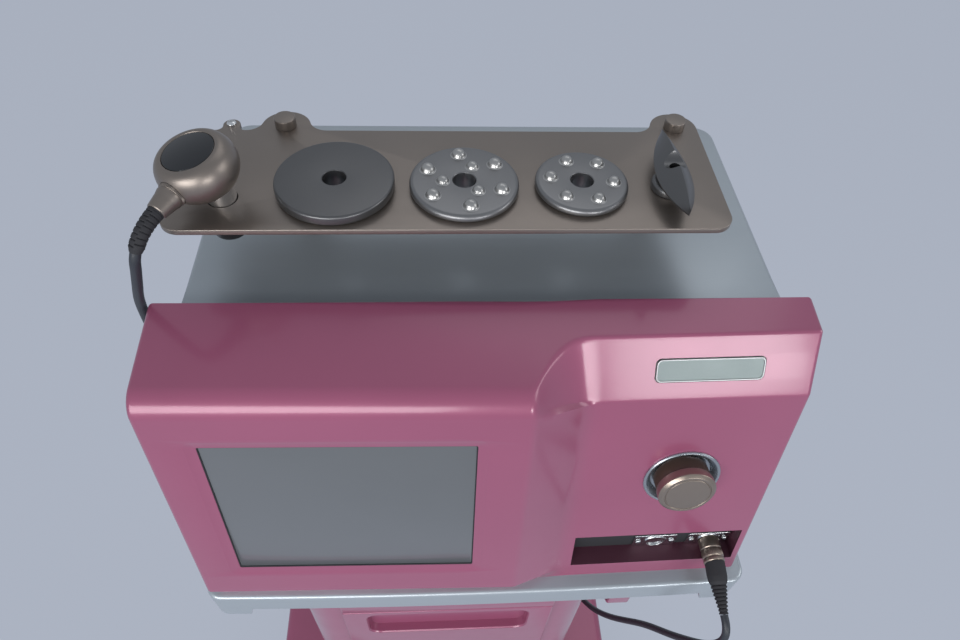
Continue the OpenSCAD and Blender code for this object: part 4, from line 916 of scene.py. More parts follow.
def knob_pieces():
    r, out = BEZEL_R, KNOB_OUT
    bezel = rounded([(0.0039, -DISH - 0.003), (r - 0.0033, -DISH - 0.003), (r - 0.0033, 0), (r, 0),
                     (r, 0.0012), (r - 0.0008, 0.002), (r - 0.0024, 0.002), (KNOB_R + 0.0016, -DISH),
                     (0.0039, -DISH)], [0, 0, 0, 0, 0.0004, 0.0006, 0.0012, 0.002, 0], 5)
    piece("bezel_ring", at_knob(revolve(bezel, 128, True)), "bezel_metal", "trolley",
          ["knob_bezel"])
    k = KNOB_R
    skirt = rounded([(0, -DISH - 0.0082), (0.003, -DISH - 0.0082), (0.003, -DISH + PRESS + 0.0003),
                     (k - 0.001, -DISH + PRESS + 0.0003), (k - 0.001, out - 0.009), (0, out - 0.009)],
                    [0, 0, 0, 0.0006, 0, 0], 5, closed=False)
    # the skirt's dark brown finish is painted shade on its bronze
    piece("knob_skirt_ring", at_knob(revolve(skirt, 128)), "knob_brown", "knob", ["knob_skirt"])
    cap = rounded([(0, out - 0.009), (k - 0.0006, out - 0.009), (k, out - 0.0084), (k, out - 0.0020),
                   (k - 0.0026, out), (k - 0.0044, out), (k - 0.0048, out - 0.0006),
                   (k - 0.0054, out - 0.0006), (k - 0.0058, out), (0, out)],
                  [0, 0.0003, 0.0003, 0.0009, 0.0006, 0.0002, 0, 0, 0.0002, 0], 5, closed=False)
    piece("knob_top", at_knob(revolve(cap, 128)), "champagne", "knob", ["knob_cap"])


def socket_pieces():
    """Two sockets: flange with rounded edges, barrel, insulator with its contacts, and the flange screws."""
    bore, screw_x = PLUG_R - 0.0015, FLANGE_W / 2 - 0.0042
    collar = rounded([(bore + 0.0002, 0.002), (bore + 0.0002, 0.0030), (bore + 0.0022, 0.0030),
                      (bore + 0.0028, 0.0019)], [0, 0.0003, 0.0006, 0], 4, closed=False)
    barrel = [(bore, 0.0022), (bore + 0.0015, 0.0022), (bore + 0.0015, -0.020), (bore, -0.020)]
    flanges, inserts, screws = [], [], []
    for k in (0, 1):
        edge = rectangle(FLANGE_W, FLANGE_H, 0.0022, 6)
        flanges.append(at_socket(raised(edge, bevelled(0, 0.002, 0.0005)), k))
        flanges.append(at_socket(revolve(collar, 64), k))
        flanges.append(at_socket(revolve(barrel, 64, True), k))
        if k == 1:
            inserts.append(at_socket(cylinder(bore, -0.006, -0.018, 48), k))
            pins = arc(0, 0, 0.0048, 0, 300, 6)
            pin = revolve([(0, -0.0005), (0.0006, -0.0008), (0.0009, -0.0014), (0.0009, -0.007), (0, -0.007)],
                          12)
            screws += [at_socket(moved(pin, (x, y, 0)), k) for x, y in pins]
        for s in (-1, 1):
            head = rounded([(0, 0.0036), (0.0018, 0.0036), (0.0028, 0.0030), (0.0028, 0.002), (0, 0.002)],
                           [0, 0.0008, 0.0006, 0, 0], 4, closed=False)
            screws.append(at_socket(moved(revolve(head, 32), (s * screw_x, 0, 0)), k))
    piece("socket_bodies", joined(*flanges), "bright_steel", "trolley", ["sockets"])
    piece("socket_insulator", joined(*inserts), "black_plastic", "trolley")
    heads = solid("socket_screw_heads", joined(*screws))
    slots = []
    for k, s in ((0, -1), (0, 1), (1, -1), (1, 1)):
        slot = block((-0.0004, 0.0004), (-0.002, 0.002), (0.0029, 0.005), turn=turn_z(0.5 * k + s))
        slots.append(solid("slot", at_socket(moved(slot, (s * screw_x, 0, 0)), k)))
    carve(heads, *slots)
    dress(heads, "bright_steel", "trolley", ["socket_screws"])


def plug_pieces():
    """The plug's metal shell with a knurled ring and grooves, and its ribbed boot."""
    r = PLUG_R
    shell = rounded([(0, 0.0025), (r - 0.0012, 0.0025), (r, 0.0037), (r, 0.0125), (r - 0.0006, 0.0132),
                     (r - 0.0006, 0.0146), (r, 0.0152), (r, 0.0205), (r - 0.0007, 0.0210),
                     (r - 0.0007, 0.0219), (r, 0.0224), (r, PLUG_OUT - 0.0012), (r - 0.0012, PLUG_OUT),
                     (0, PLUG_OUT)],
                    [0, 0.0004, 0.0004, 0.0003, 0.0002, 0.0002, 0.0003, 0.0003, 0.0002, 0.0002, 0.0003,
                     0.0005, 0.0004, 0], 4, False)
    nose = [(0, -0.014), (r - 0.0022, -0.014), (r - 0.0017, -0.0135), (r - 0.0017, 0.003), (0, 0.003)]
    knurl = ridged(sizes().knurls, 0.00018,
                   ((r - 0.0004, 0.0153, 0), (r, 0.0157, 1), (r, 0.0200, 1), (r - 0.0004, 0.0204, 0)))
    plug = piece("plug_metal", at_socket(joined(revolve(shell, 80), revolve(nose, 64), knurl), 0),
                 "plug_metal", "trolley", ["plug_shell"], 40)
    q = r - 0.0006
    profile = [(0, -0.004), (q, -0.004), (q, 0.011), (q - 0.0006, 0.0155), (q - 0.0020, 0.0182)]
    for k in range(7):
        z, rib = 0.0190 + 0.0032 * k, q - 0.0018 - 0.0005 * k
        profile += [(rib - 0.0009, z - 0.0002), (rib, z + 0.0002), (rib, z + 0.0018),
                    (rib - 0.0009, z + 0.0022)]
    profile += [(sizes().lead / 2 + 0.0006, 0.0418), (sizes().lead / 2 + 0.0005, BOOT_LEN - 0.0004),
                (0, BOOT_LEN)]
    boot = moved(revolve(rounded(profile, [0, 0, 0.002, 0.002, 0] + [0.0002] * 28 + [0, 0, 0], 3, False), 72),
                 (0, 0, PLUG_OUT), turn_x(BOOT_DROP))
    boot = solid("plug_relief", at_socket(boot, 0))
    carve(boot, solid("plug_end", at_socket(cylinder(2 * r, -0.02, PLUG_OUT - 0.0002, 96), 0)))
    dress(boot, "black_plastic", "trolley", ["plug_boot"], 40)
    return plug, boot


def lead_piece():
    """The lead: a tube along its route, blended from the trolley to the handset."""
    path, run = smooth_path(np.asarray(LEAD_ROUTE) + FOOT, 0.0035)
    lead = solid("handset_lead", tube(path, sizes().lead / 2))
    smooth(lead.data)
    lead.data.materials.append(finish("lead_rubber"))
    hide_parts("lead")
    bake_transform(lead)


def cover_pieces():
    """The silver rear cover with the back panel: a folded sheet with round upright back corners, cut out for
    the side vents, the fan and the mains inlet."""
    size = sizes()
    half = (COVER_HIGH.x - COVER_LOW.x) / 2
    y0, y1 = SHELL_DEPTH, CONSOLE_DEPTH
    r, e, t = size.cover_round, size.cover_edge, 0.002
    n = 12
    outline = np.concatenate([[(-half, y0), (half, y0)], arc(half - r, y1 - r, r, 0, 90, n),
                              arc(-half + r, y1 - r, r, 90, 180, n)])
    flats = (0, 1, n + 1, 2 * n + 1)
    spread = split(outline, [8 if k in flats else 1 for k in range(len(outline))])
    a = np.linspace(0, np.pi / 2, 6)
    edge = [(e * (1 - math.cos(x)), COVER_HEIGHT - e * (1 - math.sin(x))) for x in a]
    cover = solid("cover", moved(raised(spread, [(0, 0)] + edge), FOOT))
    inside = foot_block("cover_inside", (-half + t, half - t), (y0 - 0.01, y1 - t), (-0.01, COVER_HEIGHT - t),
                        r - t)
    front = foot_block("cover_front", (-half + t, half - t), (y0 - 0.01, y0 + 0.03),
                       (-0.01, COVER_HEIGHT - t))
    slots = [foot_block("vent", (s * (half - 0.003) - 0.004, s * (half - 0.003) + 0.004),
                        (0.200 + 0.012 * k, 0.205 + 0.012 * k), (0.060, 0.110), 0.002)
             for s in (-1, 1) for k in range(8)]
    fan = moved(cylinder(0.028, -0.01, 0.01), (-0.120, y1, 0.150), turn_x(-math.pi / 2))
    fan_hole = solid("fan_hole", moved(fan, FOOT))
    inlet_hole = foot_block("inlet_hole", (0.130 - 0.026, 0.130 + 0.026), (y1 - 0.006, y1 + 0.004),
                            (0.060 - 0.014, 0.060 + 0.014))
    carve(cover, inside, front, *slots, fan_hole, inlet_hole)
    dress(cover, "silver_paint", "trolley", ["rear_cover", "rear_panel"], 30)


def tray_piece():
    """The tray under the console: its front edge bows, and its rim is deeper at both ends. Rings run from the
    inside bottom over the lip's edge, up the outside and over the rounded top edge."""
    low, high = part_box("tray")
    w, r, wall = high.x - low.x, sizes().tray_round, 0.004
    back, front = high.y, low.y
    cx = (low.x + high.x) / 2
    bow, plan_r = 0.004, 0.014
    outline = rectangle(w, back - front, plan_r, 10, cx, (back + front) / 2)
    sides = np.linalg.norm(np.roll(outline, -1, 0) - outline, axis=1)
    dense = split(outline, 1 + (sides / 0.004).astype(int))
    x = (dense[:, 0] - cx) / (w / 2)
    front_share = np.clip((back - dense[:, 1]) / (back - front), 0, 1)
    dense = np.column_stack([dense[:, 0], dense[:, 1] + bow * x ** 2 * (front_share > 0.5) * front_share])
    lip, skirt, skirt_w = 0.028, high.z - low.z, 0.035
    deep = np.where(np.abs(dense[:, 0] - cx) > w / 2 - skirt_w, skirt, lip)
    normals = inwards(dense)
    a = np.linspace(0, np.pi / 2, 6)
    rings = [(wall, -0.004 - 0 * deep), (wall, -deep), (0.0004, -deep), (0, -deep + 0.0004)]
    rings += [(r * (1 - math.cos(t)), 0 * deep - r * (1 - math.sin(t))) for t in a]
    shape = loft(np.stack([level(dense + normals * d, high.z + h) for d, h in rings]))
    piece("tray_body", shape, "silver_paint", "trolley", ["tray"], 35)


def column_pieces():
    """The pink column with its shoulder, the silver cap on it, the fixed strips and the drawer's front."""
    low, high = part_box("column_shell")
    w, d = high.x - low.x, high.y - low.y
    cx, cy = (low.x + high.x) / 2, (low.y + high.y) / 2
    out = rectangle(w, d, 0.040, 14, cx, cy)
    shoulder, widen = 0.030, 0.006
    knee = high.z - shoulder
    s = np.linspace(0, 1, 9)
    steps = [(0, low.z), (0, low.z + 0.002)]
    steps += [(widen * (3 * t * t - 2 * t ** 3), knee + shoulder * t) for t in s]
    column = solid("column", raised(out, steps))
    front_low, front_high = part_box("front_panels")
    way = solid("front_way", block((front_low.x - 0.001, front_high.x + 0.001), (low.y - 0.01, low.y + 0.040),
                                   (low.z - 0.01, high.z + 0.01)))
    inside = solid("column_inside", block((low.x + 0.003, high.x - 0.003), (low.y + 0.003, high.y - 0.003),
                                          (low.z - 0.001, high.z + 0.001), 0.037))
    back_low, back_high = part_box("column_back")
    back = node_block("back_hatch", "column_back", 0.0003, 0.01, 0.0003)
    carve(column, inside, way, back)
    dress(column, "pearl_paint", "trolley", ["column_shell"], 30)
    cap_low, cap_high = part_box("column_cap")
    cap = raised(rectangle(cap_high.x - cap_low.x, cap_high.y - cap_low.y, 0.034, 14, cx, cy),
                 bevelled(cap_low.z, cap_high.z, 0.0015))
    piece("cap_plate", cap, "silver_paint", "trolley", ["column_cap"])
    x0, x1, y0, y1 = front_low.x, front_high.x, front_low.y, front_high.y
    drawer_low, drawer_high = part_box("drawer_front")

    def face(z0, z1):
        """A front panel between two heights."""
        outline = rectangle(x1 - x0, z1 - z0, 0.002, 4, (x0 + x1) / 2, (z0 + z1) / 2)
        return moved(raised(outline, bevelled(-y1, -y0, 0.0012)), turn=turn_x(math.pi / 2))

    strips = joined(face(drawer_high.z + 0.001, front_high.z), face(front_low.z, drawer_low.z - 0.001))
    piece("front_strips", strips, "pearl_paint", "trolley", ["front_panels"])
    drawer = solid("drawer_face", face(drawer_low.z, drawer_high.z))
    top, deep, pull_w, pull_h = drawer_high.z - 0.008, 0.009, 0.160, 0.056
    pocket = moved(raised(rectangle(pull_w, pull_h, 0.012, 8, 0, top - pull_h / 2),
                          [(-0.0012, -y0 + 0.001), (-0.0010, -y0 - 0.0002), (0, -y0 - 0.0014),
                           (0.001, -y0 - deep)]), turn=turn_x(math.pi / 2))
    slot = block((-pull_w / 2 + 0.016, pull_w / 2 - 0.016), (y0 + 0.002, y1 + 0.001),
                 (top - 0.020, top - 0.006))
    carve(drawer, solid("pocket", pocket), solid("finger_slot", slot))
    dress(drawer, "pearl_paint", "drawer", ["drawer_front"], 30)
    hatch = node_block("hatch", "column_back")
    vents = [solid("vent", block((-0.050, 0.050), (back_low.y - 0.01, back_high.y + 0.01),
                                 (low.z + 0.120 + 0.014 * k, low.z + 0.126 + 0.014 * k))) for k in range(10)]
    carve(hatch, *vents)
    dress(hatch, "pearl_paint", "trolley", ["column_back"])


def hook_piece():
    """The J-shaped hook under the tray: a tongue with a round lower end that curls back and up."""
    low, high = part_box("cable_hook")
    w, t = high.x - low.x, 0.004
    cx, r = (low.x + high.x) / 2, (high.y - low.y) / 2
    z0 = low.z + r
    a = np.linspace(math.pi, 2 * math.pi, 17)
    mid_r = r - t / 2
    path = np.concatenate([[(low.y + t / 2, high.z), (low.y + t / 2, (high.z + z0) / 2)],
                           np.column_stack([low.y + r + mid_r * np.cos(a), z0 + mid_r * np.sin(a)]),
                           [(high.y - t / 2, z0 + 0.0075)]])
    f = unit(np.gradient(path, axis=0))
    normal = np.column_stack([-f[:, 1], f[:, 0]])
    section = rectangle(w, t, 0.0015, 4)
    rings = np.stack([np.column_stack([cx + section[:, 0], p[0] + n[0] * section[:, 1],
                                       p[1] + n[1] * section[:, 1]])
                      for p, n in zip(path, normal)])
    piece("lead_hook", loft(rings), "pearl_paint", "trolley", ["cable_hook"])


def base_pieces():
    """The wheeled base: a pink cover with soft edges, and casters with rubber treads and hubs."""
    low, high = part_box("base_cover")
    w, d = high.x - low.x, high.y - low.y
    outline = rectangle(w, d, 0.060, 16)
    a = np.linspace(0, np.pi / 2, 7)
    r = 0.012
    steps = [(0.004, low.z), (0.0005, low.z), (0, low.z + 0.0005)]
    steps += [(r * (1 - math.cos(t)), high.z - r * (1 - math.sin(t))) for t in a]
    base = solid("base", raised(outline, steps))
    hollow = solid("base_hollow", raised(rectangle(w - 0.008, d - 0.008, 0.056, 16),
                                         [(0, low.z - 0.001), (0, high.z - 0.004)]))
    frame_low, frame_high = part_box("column_frame")
    gap = 0.0003
    way = solid("base_way", block((frame_low.x - gap, frame_high.x + gap),
                                  (frame_low.y - gap, frame_high.y + gap),
                                  (low.z, high.z + 0.05)))
    carve(base, hollow, way)
    dress(base, "pearl_paint", "trolley", ["base_cover"], 32)
    for i in CASTERS:
        wheel_low, wheel_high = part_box(f"caster_wheel_{i}")
        half, radius = (wheel_high.x - wheel_low.x) / 2, (wheel_high.z - wheel_low.z) / 2
        centre = tuple((a + b) / 2 for a, b in zip(wheel_low, wheel_high))
        tread = rounded([(0.021, -half), (radius, -half), (radius, half), (0.021, half), (0.021, 0.004),
                         (0.021, -0.004)],
                        [0.0006, 0.005, 0.005, 0.0006, 0, 0], 6)
        hub = rounded([(0.0042, -half + 0.001), (0.008, -half + 0.001), (0.011, -half + 0.004),
                       (0.0205, -half + 0.003), (0.0212, -half + 0.003), (0.0212, half - 0.003),
                       (0.0205, half - 0.003), (0.011, half - 0.004), (0.008, half - 0.001),
                       (0.0042, half - 0.001)], [0] + [0.0008] * 8 + [0], 4)
        piece(f"wheel_hub_{i}", moved(revolve(hub, 64, True), centre, turn_y(math.pi / 2)),
              "sheet_steel", f"wheel_{i}")
        piece(f"wheel_tread_{i}", moved(revolve(tread, 96, True), centre, turn_y(math.pi / 2)),
              "wheel_rubber", f"wheel_{i}", [f"caster_wheel_{i}"])


def tool_plate_outline():
    """The tool plate's outline, anticlockwise: round corners, two ears and a small one. A hollow arc of
    radius f lies beside each ear, its centre f above the back edge and at the distance ear + f from the
    ear's centre."""
    low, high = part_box("tool_plate")
    x0, x1, y0 = low.x - FOOT[0], high.x - FOOT[0], low.y - FOOT[1]
    yb, r, ear, f = y0 + 0.1105, 0.014, 0.0185, 0.014
    ear_y = yb + 0.0055
    right, left, small = x1 - ear, -0.1515, (-0.1925, yb + 0.007, 0.0065)

    def beside(y, big, hollow):
        """How far to the side the hollow's centre lies, and how steeply above the ear's, in degrees."""
        up = yb + hollow - y
        across = math.sqrt((big + hollow) ** 2 - up ** 2)
        return across, math.degrees(math.atan2(up, across))

    def from_right(x, y, big, hollow):
        across, steep = beside(y, big, hollow)
        return arc(x + across, yb + hollow, hollow, -90, steep - 180, 12), steep

    def to_left(x, y, big, hollow):
        across, steep = beside(y, big, hollow)
        return arc(x - across, yb + hollow, hollow, -steep, -90, 12), 180 - steep

    parts = [arc(x0 + r, y0 + r, r, 180, 270), arc(x1 - r, y0 + r, r, 270, 360)]
    after, end = to_left(right, ear_y, ear, f)
    parts += [arc(right, ear_y, ear, 0, end, 28), after]
    for x, y, big, before_f, after_f in ((left, ear_y, ear, f, 0.0119), (*small, 0.005, 0.005)):
        before, start = from_right(x, y, big, before_f)
        after, end = to_left(x, y, big, after_f)
        parts += [before, arc(x, y, big, start, end, 28)[1:-1], after]
    parts.append(arc(x0 + r, yb - r, r, 90, 180))
    return np.concatenate(parts), (left, right, ear_y), small


def plate_pieces():
    outline, (left, right, ear_y), small = tool_plate_outline()
    bevel = sizes().bevel
    steps = bevelled(PLATE_TOP - PLATE_T, PLATE_TOP, bevel)
    plate = solid("plate", moved(raised(outline, steps), FOOT))

    def tool_hole(x, y, r):
        """A hole with a chamfer at the plate's top."""
        profile = [(0, PLATE_TOP - 0.01), (r, PLATE_TOP - 0.01), (r, PLATE_TOP - 0.0004),
                   (r + 0.0006, PLATE_TOP + 0.0002), (0, PLATE_TOP + 0.0002)]
        return moved(revolve(profile, 64), FOOT + np.array([x, y, 0]))

    spots = [(x, TOOL_Y, 0.0103) for x in TOOLS_X] + [(left, ear_y, 0.0032), (right, ear_y, 0.0032)]
    spots += [(small[0], small[1], 0.0017), (DOCK[0], DOCK[1], 0.0103)]
    carve(plate, *[solid("hole", tool_hole(*s)) for s in spots])
    dress(plate, "blasted_bronze", "trolley", ["tool_plate"], 30)
    posts, nuts = [], []
    for x in (left, right):
        at = FOOT + np.array([x, ear_y, 0])
        foot, head = COVER_HEIGHT, PLATE_TOP - PLATE_T
        post = rounded([(0, foot), (0.012, foot), (0.012, foot + 0.003), (0.007, foot + 0.003), (0.007, head),
                        (0, head)], [0, 0.0004, 0.0008, 0.001, 0.0004, 0], 5, False)
        posts.append(moved(revolve(post, 64), at))
        posts.append(moved(cylinder(0.003, COVER_HEIGHT - 0.008, PLATE_TOP + 0.0045, 32), at))
        nut = rounded([(0.00305, PLATE_TOP), (0.008, PLATE_TOP), (0.008, PLATE_TOP + 0.008),
                       (0, PLATE_TOP + 0.008)],
                      [0, 0.0003, 0.0008, 0], 5, False)
        nuts.append(moved(revolve(nut, 64), at))
    piece("posts", joined(*posts), "blasted_bronze", "trolley", ["plate_posts"])
    piece("nuts", joined(*nuts), "blasted_bronze", "trolley", ["thumb_nuts"])
    at = FOOT + np.array([small[0], small[1], PLATE_TOP])
    head = joined(revolve(rounded([(0, 0.0026), (0.0022, 0.0024), (0.0036, 0.0014), (0.0036, 0), (0, 0)],
                                  [0, 0.001, 0.0008, 0, 0], 4, False), 40),
                  cylinder(0.0016, 0.0001, -0.009, 24))
    screw = solid("ear_screw", moved(head, at))
    grooves = []
    for a in (0.35, 1.92):
        groove = block((-0.0004, 0.0004), (-0.0022, 0.0022), (0.0014, 0.004), turn=turn_z(a))
        grooves.append(solid("cross", moved(groove, at)))
    carve(screw, *grooves)
    dress(screw, "bright_steel", "trolley", ["plate_screw"])


def disc_shape(r, t, rim):
    """A tool disc: hollow spigot, flat underside, rounded rim and a chamfered hole."""
    profile = rounded([(HOLE_R, -SPIGOT_LEN), (SPIGOT_R, -SPIGOT_LEN), (SPIGOT_R, 0.0002),
                       (r - 0.0022, 0.0002), (r, 0.0024), (r, t),
                       (HOLE_R + 0.0006, t), (HOLE_R, t - 0.0006)],
                      [0.0003, 0.0008, 0, 0.0012, 0.0012, rim, 0.0002, 0.0003], 7)
    return revolve(profile, 160, True)


def bead_shapes(count, ring, start, t, r):
    """Beads on a ring: each is a dome with a small hollow fillet at its foot."""
    a = np.linspace(0, np.pi / 2, 9)
    dome = np.column_stack([r * np.cos(a), r * np.sin(a)])
    foot = np.array([(r + 0.0010, 0), (r + 0.0005, 0.00012), (r + 0.0001, 0.0006)])
    profile = np.concatenate([[(0, -0.001), (r + 0.0010, -0.001)], foot, dome[1:]])
    spots = np.radians(start + 360 / count * np.arange(count))
    return [moved(revolve(profile, 32), (ring * math.cos(s), ring * math.sin(s), t)) for s in spots]


def disc_pieces():
    r_bead, bead_t = sizes().bead, 0.007
    plain_r, nine_r, six_r = 0.0416, 0.0388, 0.0334
    # name, radius, thickness and the rounding of the rim
    discs = (
        ("plain", plain_r, 0.009, 0.0020),
        ("nine", nine_r, bead_t, 0.0032),
        ("six", six_r, bead_t, 0.0032),
    )
    beads = {
        "nine": bead_shapes(6, 0.72 * nine_r, 37, bead_t, r_bead)
        + bead_shapes(3, nine_r - 0.0234, 67, bead_t, 0.84 * r_bead),
        "six": bead_shapes(6, six_r - 0.011, 53, bead_t, r_bead - 0.0004),
    }
    for k, (name, r, t, rim) in enumerate(discs):
        body = f"{name}_disc"
        piece(f"{body}_body", at_tool(disc_shape(r, t, rim), k), f"gunmetal_{name}", body,
              [f"disc_{name}"], 35)
        if name in beads:
            piece(f"{name}_beads", at_tool(joined(*beads[name]), k), "bead_metal", body,
                  angle=60)


def blade_piece():
    """The boat-shaped blade: a leaf whose half width follows the overlap of two circles, with a crest along
    its middle, a keel that rises to both tips, and a saddle across. It stands on a round foot with a
    spigot."""
    half_l, half_w, rise, lift = 0.0455, 0.0125, 0.020, 0.005
    deck_r, keel_r, tool = 0.150, 0.130, 3
    leaf_r = (half_l ** 2 + half_w ** 2) / (2 * half_w)
    v = np.sin(np.linspace(-np.pi / 2, np.pi / 2, 61)) * half_l * 0.999
    width = np.sqrt(leaf_r ** 2 - v ** 2) - leaf_r + half_w
    deck = lift + rise - (deck_r - np.sqrt(deck_r ** 2 - v ** 2))
    keel = lift + keel_r - np.sqrt(keel_r ** 2 - v ** 2)
    a = np.linspace(0, 2 * np.pi, 48, endpoint=False)
    # across: x = width * sin(a), the upper half is pulled up to a crest and the lower half is round
    across = np.sin(a)
    up = np.cos(a)
    crest = np.where(up > 0, (1 - np.abs(across) ** 1.25), 0)
    belly = np.where(up <= 0, -np.abs(up), 0)
    middle = keel + 0.35 * (deck - keel)
    z = middle[:, None] + np.outer(deck - middle, crest) + np.outer(middle - keel, belly)
    rings = np.stack([width[:, None] * across[None, :], np.broadcast_to(v[:, None], z.shape), z], -1)
    blade = solid("blade_leaf", at_tool(loft(rings), tool))
    saddle = moved(cylinder(0.009, -0.03, 0.03), (0, 0.002, lift + rise + 0.002), turn_y(math.pi / 2))
    hole = cylinder(0.0045, -0.02, 0.04, 48)
    foot = rounded([(0.0046, -SPIGOT_LEN), (SPIGOT_R, -SPIGOT_LEN), (SPIGOT_R, 0.0002), (0.014, 0.0002),
                    (0.014, 0.0060), (0.0046, 0.0075)], [0, 0.0008, 0, 0.0008, 0.003, 0], 6)
    carve(blade, solid("saddle", at_tool(saddle, tool)), solid("blade_hole", at_tool(hole, tool)))
    dress(blade, "gunmetal_blade", "blade", ["blade_tool"], 38)
    piece("blade_foot", at_tool(revolve(foot, 72, True), tool), "gunmetal_blade", "blade")


def handset_pieces():
    size = sizes()
    tilt = turn_y(math.radians(-11.4)) @ turn_x(math.radians(5.4))
    r, low, top, lens = size.ball, 0.0202, 0.0132, 0.0176
    flat = lens + 0.0013
    a, b = np.radians(np.linspace(-90, 0, 28)), np.radians(np.linspace(3, 84, 24))
    outline = np.concatenate([
        np.column_stack([r * np.cos(a) ** 0.8, low * np.sin(a)]),
        np.column_stack([flat + (r - flat) * np.cos(b), top * np.sin(b)]),
        [(flat + 0.0003, top), (lens + 0.0004, top), (lens + 0.0001, top - 0.0004), (lens, top - 0.0012),
         (0, top - 0.0012)]])
    outline[0, 0] = 0
    body = solid("handset_ball", moved(revolve(outline, 128), FOOT + BALL, tilt))
    seat = solid("neck_seat", along_neck(cylinder(0.0093, NECK_FROM, NECK_FROM + 0.02)))
    bore = solid("spigot_bore", moved(cylinder(0.01005, -0.01, 0.020), FOOT + DOCK))
    carve(body, seat, bore)
    dress(body, "blasted_bronze", "handset", ["handset_body"], 35)
    pane = revolve(rounded([(0, top - 0.0012), (lens - 0.0001, top - 0.0012), (lens - 0.0001, top),
                            (0, top + 0.0003)],
                           [0, 0, 0.0004, 0], 4, False), 96)
    piece("handset_display", moved(pane, FOOT + BALL, tilt), "display", "handset",
          ["handset_lens"])
    # collar with fine ridges, a thin ring and the cone down to the relief
    ridge = ridged(size.ridges, 0.00014, ((0.0086, NECK_FROM + 0.0002, 0), (0.0090, NECK_FROM + 0.0006, 1),
                                          (0.0090, NECK_FROM + 0.0030, 1), (0.0085, NECK_FROM + 0.0034, 0)))
    cone = rounded([(0.0040, NECK_FROM - 0.006), (0.00595, NECK_FROM - 0.006), (0.00595, NECK_FROM + 0.003),
                    (0.0087, NECK_FROM + 0.0032), (0.0087, NECK_FROM + 0.0052), (0.0078, NECK_FROM + 0.0085),
                    (0.0065, NECK_FROM + NECK_LEN - 0.0006), (0.0060, NECK_FROM + NECK_LEN),
                    (0.0040, NECK_FROM + NECK_LEN)],
                   [0, 0, 0, 0.0005, 0.001, 0.003, 0.0004, 0.0003, 0], 6)
    piece("handset_collar", along_neck(joined(ridge, revolve(cone, 96, True))), "blasted_bronze",
          "handset", ["handset_neck"], 40)
    dress(solid("handset_relief", relief_shape()), "black_plastic", "handset",
          ["strain_relief"], 50)
    top, deep = 0.016, 0.0272
    shaft = rounded([(0, -deep), (SPIGOT_R - 0.001, -deep), (SPIGOT_R, -deep + 0.001), (SPIGOT_R, top),
                     (0, top)],
                    [0, 0.0004, 0.0004, 0, 0], 4, False)
    piece("handset_shaft", moved(revolve(shaft, 72), FOOT + DOCK), "bright_steel", "handset",
          ["handset_spigot"])
    r, deep = 0.0125, 0.030
    cup = rounded([(0, -deep), (r, -deep), (r, -PLATE_T), (r - 0.002, -PLATE_T), (r - 0.002, 0.0025 - deep),
                   (0, 0.0025 - deep)],
                  [0, 0.0035, 0.0003, 0.0003, 0.001, 0], 7, False)
    piece("dock", moved(revolve(cup, 96), FOOT + DOCK), "gloss_black", "trolley",
          ["dock_cup"])


def relief_shape():
    """The strain relief: a tapering tube along a Hermite curve from the neck's end, which it leaves along the
    neck, to just past the lead's end, which it meets along the lead. Its ribs lie half a pitch apart on its
    four quarters, like a ladder."""
    neck = turn_z(NECK_TURN) @ turn_x(math.pi / 2 + NECK_DIP) @ np.array([0, 0, 1])
    p0 = BALL + (NECK_FROM + NECK_LEN - 0.001) * neck
    along = unit(np.array(LEAD_ROUTE[-2]) - np.array(LEAD_ROUTE[-1]))
    p1 = np.array(LEAD_ROUTE[-1]) + 0.001 * along
    reach = 1.1 * np.linalg.norm(p1 - p0)
    u = np.linspace(0, 1, 97)[:, None]
    path = (2 * u ** 3 - 3 * u ** 2 + 1) * p0 + (u ** 3 - 2 * u ** 2 + u) * reach * neck \
        + (3 * u ** 2 - 2 * u ** 3) * p1 + (u ** 3 - u ** 2) * reach * along
    z = np.concatenate([[0], np.cumsum(np.linalg.norm(np.diff(path, axis=0), axis=1))])
    end = z[-1]
    f = unit(np.gradient(path, axis=0))
    side = unit(np.cross(f, np.array([1.0, -1.0, 0.4])))
    other = np.cross(f, side)
    t = np.linspace(0, 2 * np.pi, 72, endpoint=False)
    phase = (z[:, None] / 0.0036 + np.where(np.cos(2 * t) > 0, 0.0, 0.5)[None, :]) % 1
    gaps = np.clip(np.minimum(phase, 1 - phase) * 7, 0, 1)
    ribbed = np.clip(np.minimum(z - 0.0016, end - 0.0030 - z) / 0.0005, 0, 1)[:, None]
    outer = np.interp(z, [0, 0.001, end - 0.003, end - 0.0020, end], [0.0058, 0.0056, 0.0049, 0.0045, 0.0040])
    radius = outer[:, None] - 0.0009 * (1 - gaps) * ribbed
    ring = np.cos(t)[None, :, None] * side[:, None, :] + np.sin(t)[None, :, None] * other[:, None, :]
    return moved(loft(path[:, None, :] + radius[:, :, None] * ring), FOOT)


def inner_nodes():
    """Finishes for the nodes that stay as the model has them."""
    repaint("sheet_steel", "base_plate", "column_frame", "drawer_box", "slide_rails", "base_pan",
            "power_supply",
            *[f"caster_fork_{i}" for i in CASTERS])
    repaint("black_plastic", "connector_plate", "lcd_module", "fan_frame", "fan_rotor", "mains_inlet",
            "encoder_plunger")
    repaint("circuit_board", "rf_board", "control_board", "encoder")
    repaint("switch_red", "mains_switch")


# ---- stage ----

CAMERA_PLACE = (-0.00728, -0.38017, 1.45081)
CAMERA_PITCH, CAMERA_YAW, CAMERA_ROLL = math.radians(50.385), math.radians(5.4146), math.radians(3.5420)
SENSOR_WIDTH, FOCAL_LENGTH = 36, 26.25       # millimetres
LAMP_TARGET = (0, 0.10, 0.18)                # measured from the console's foot
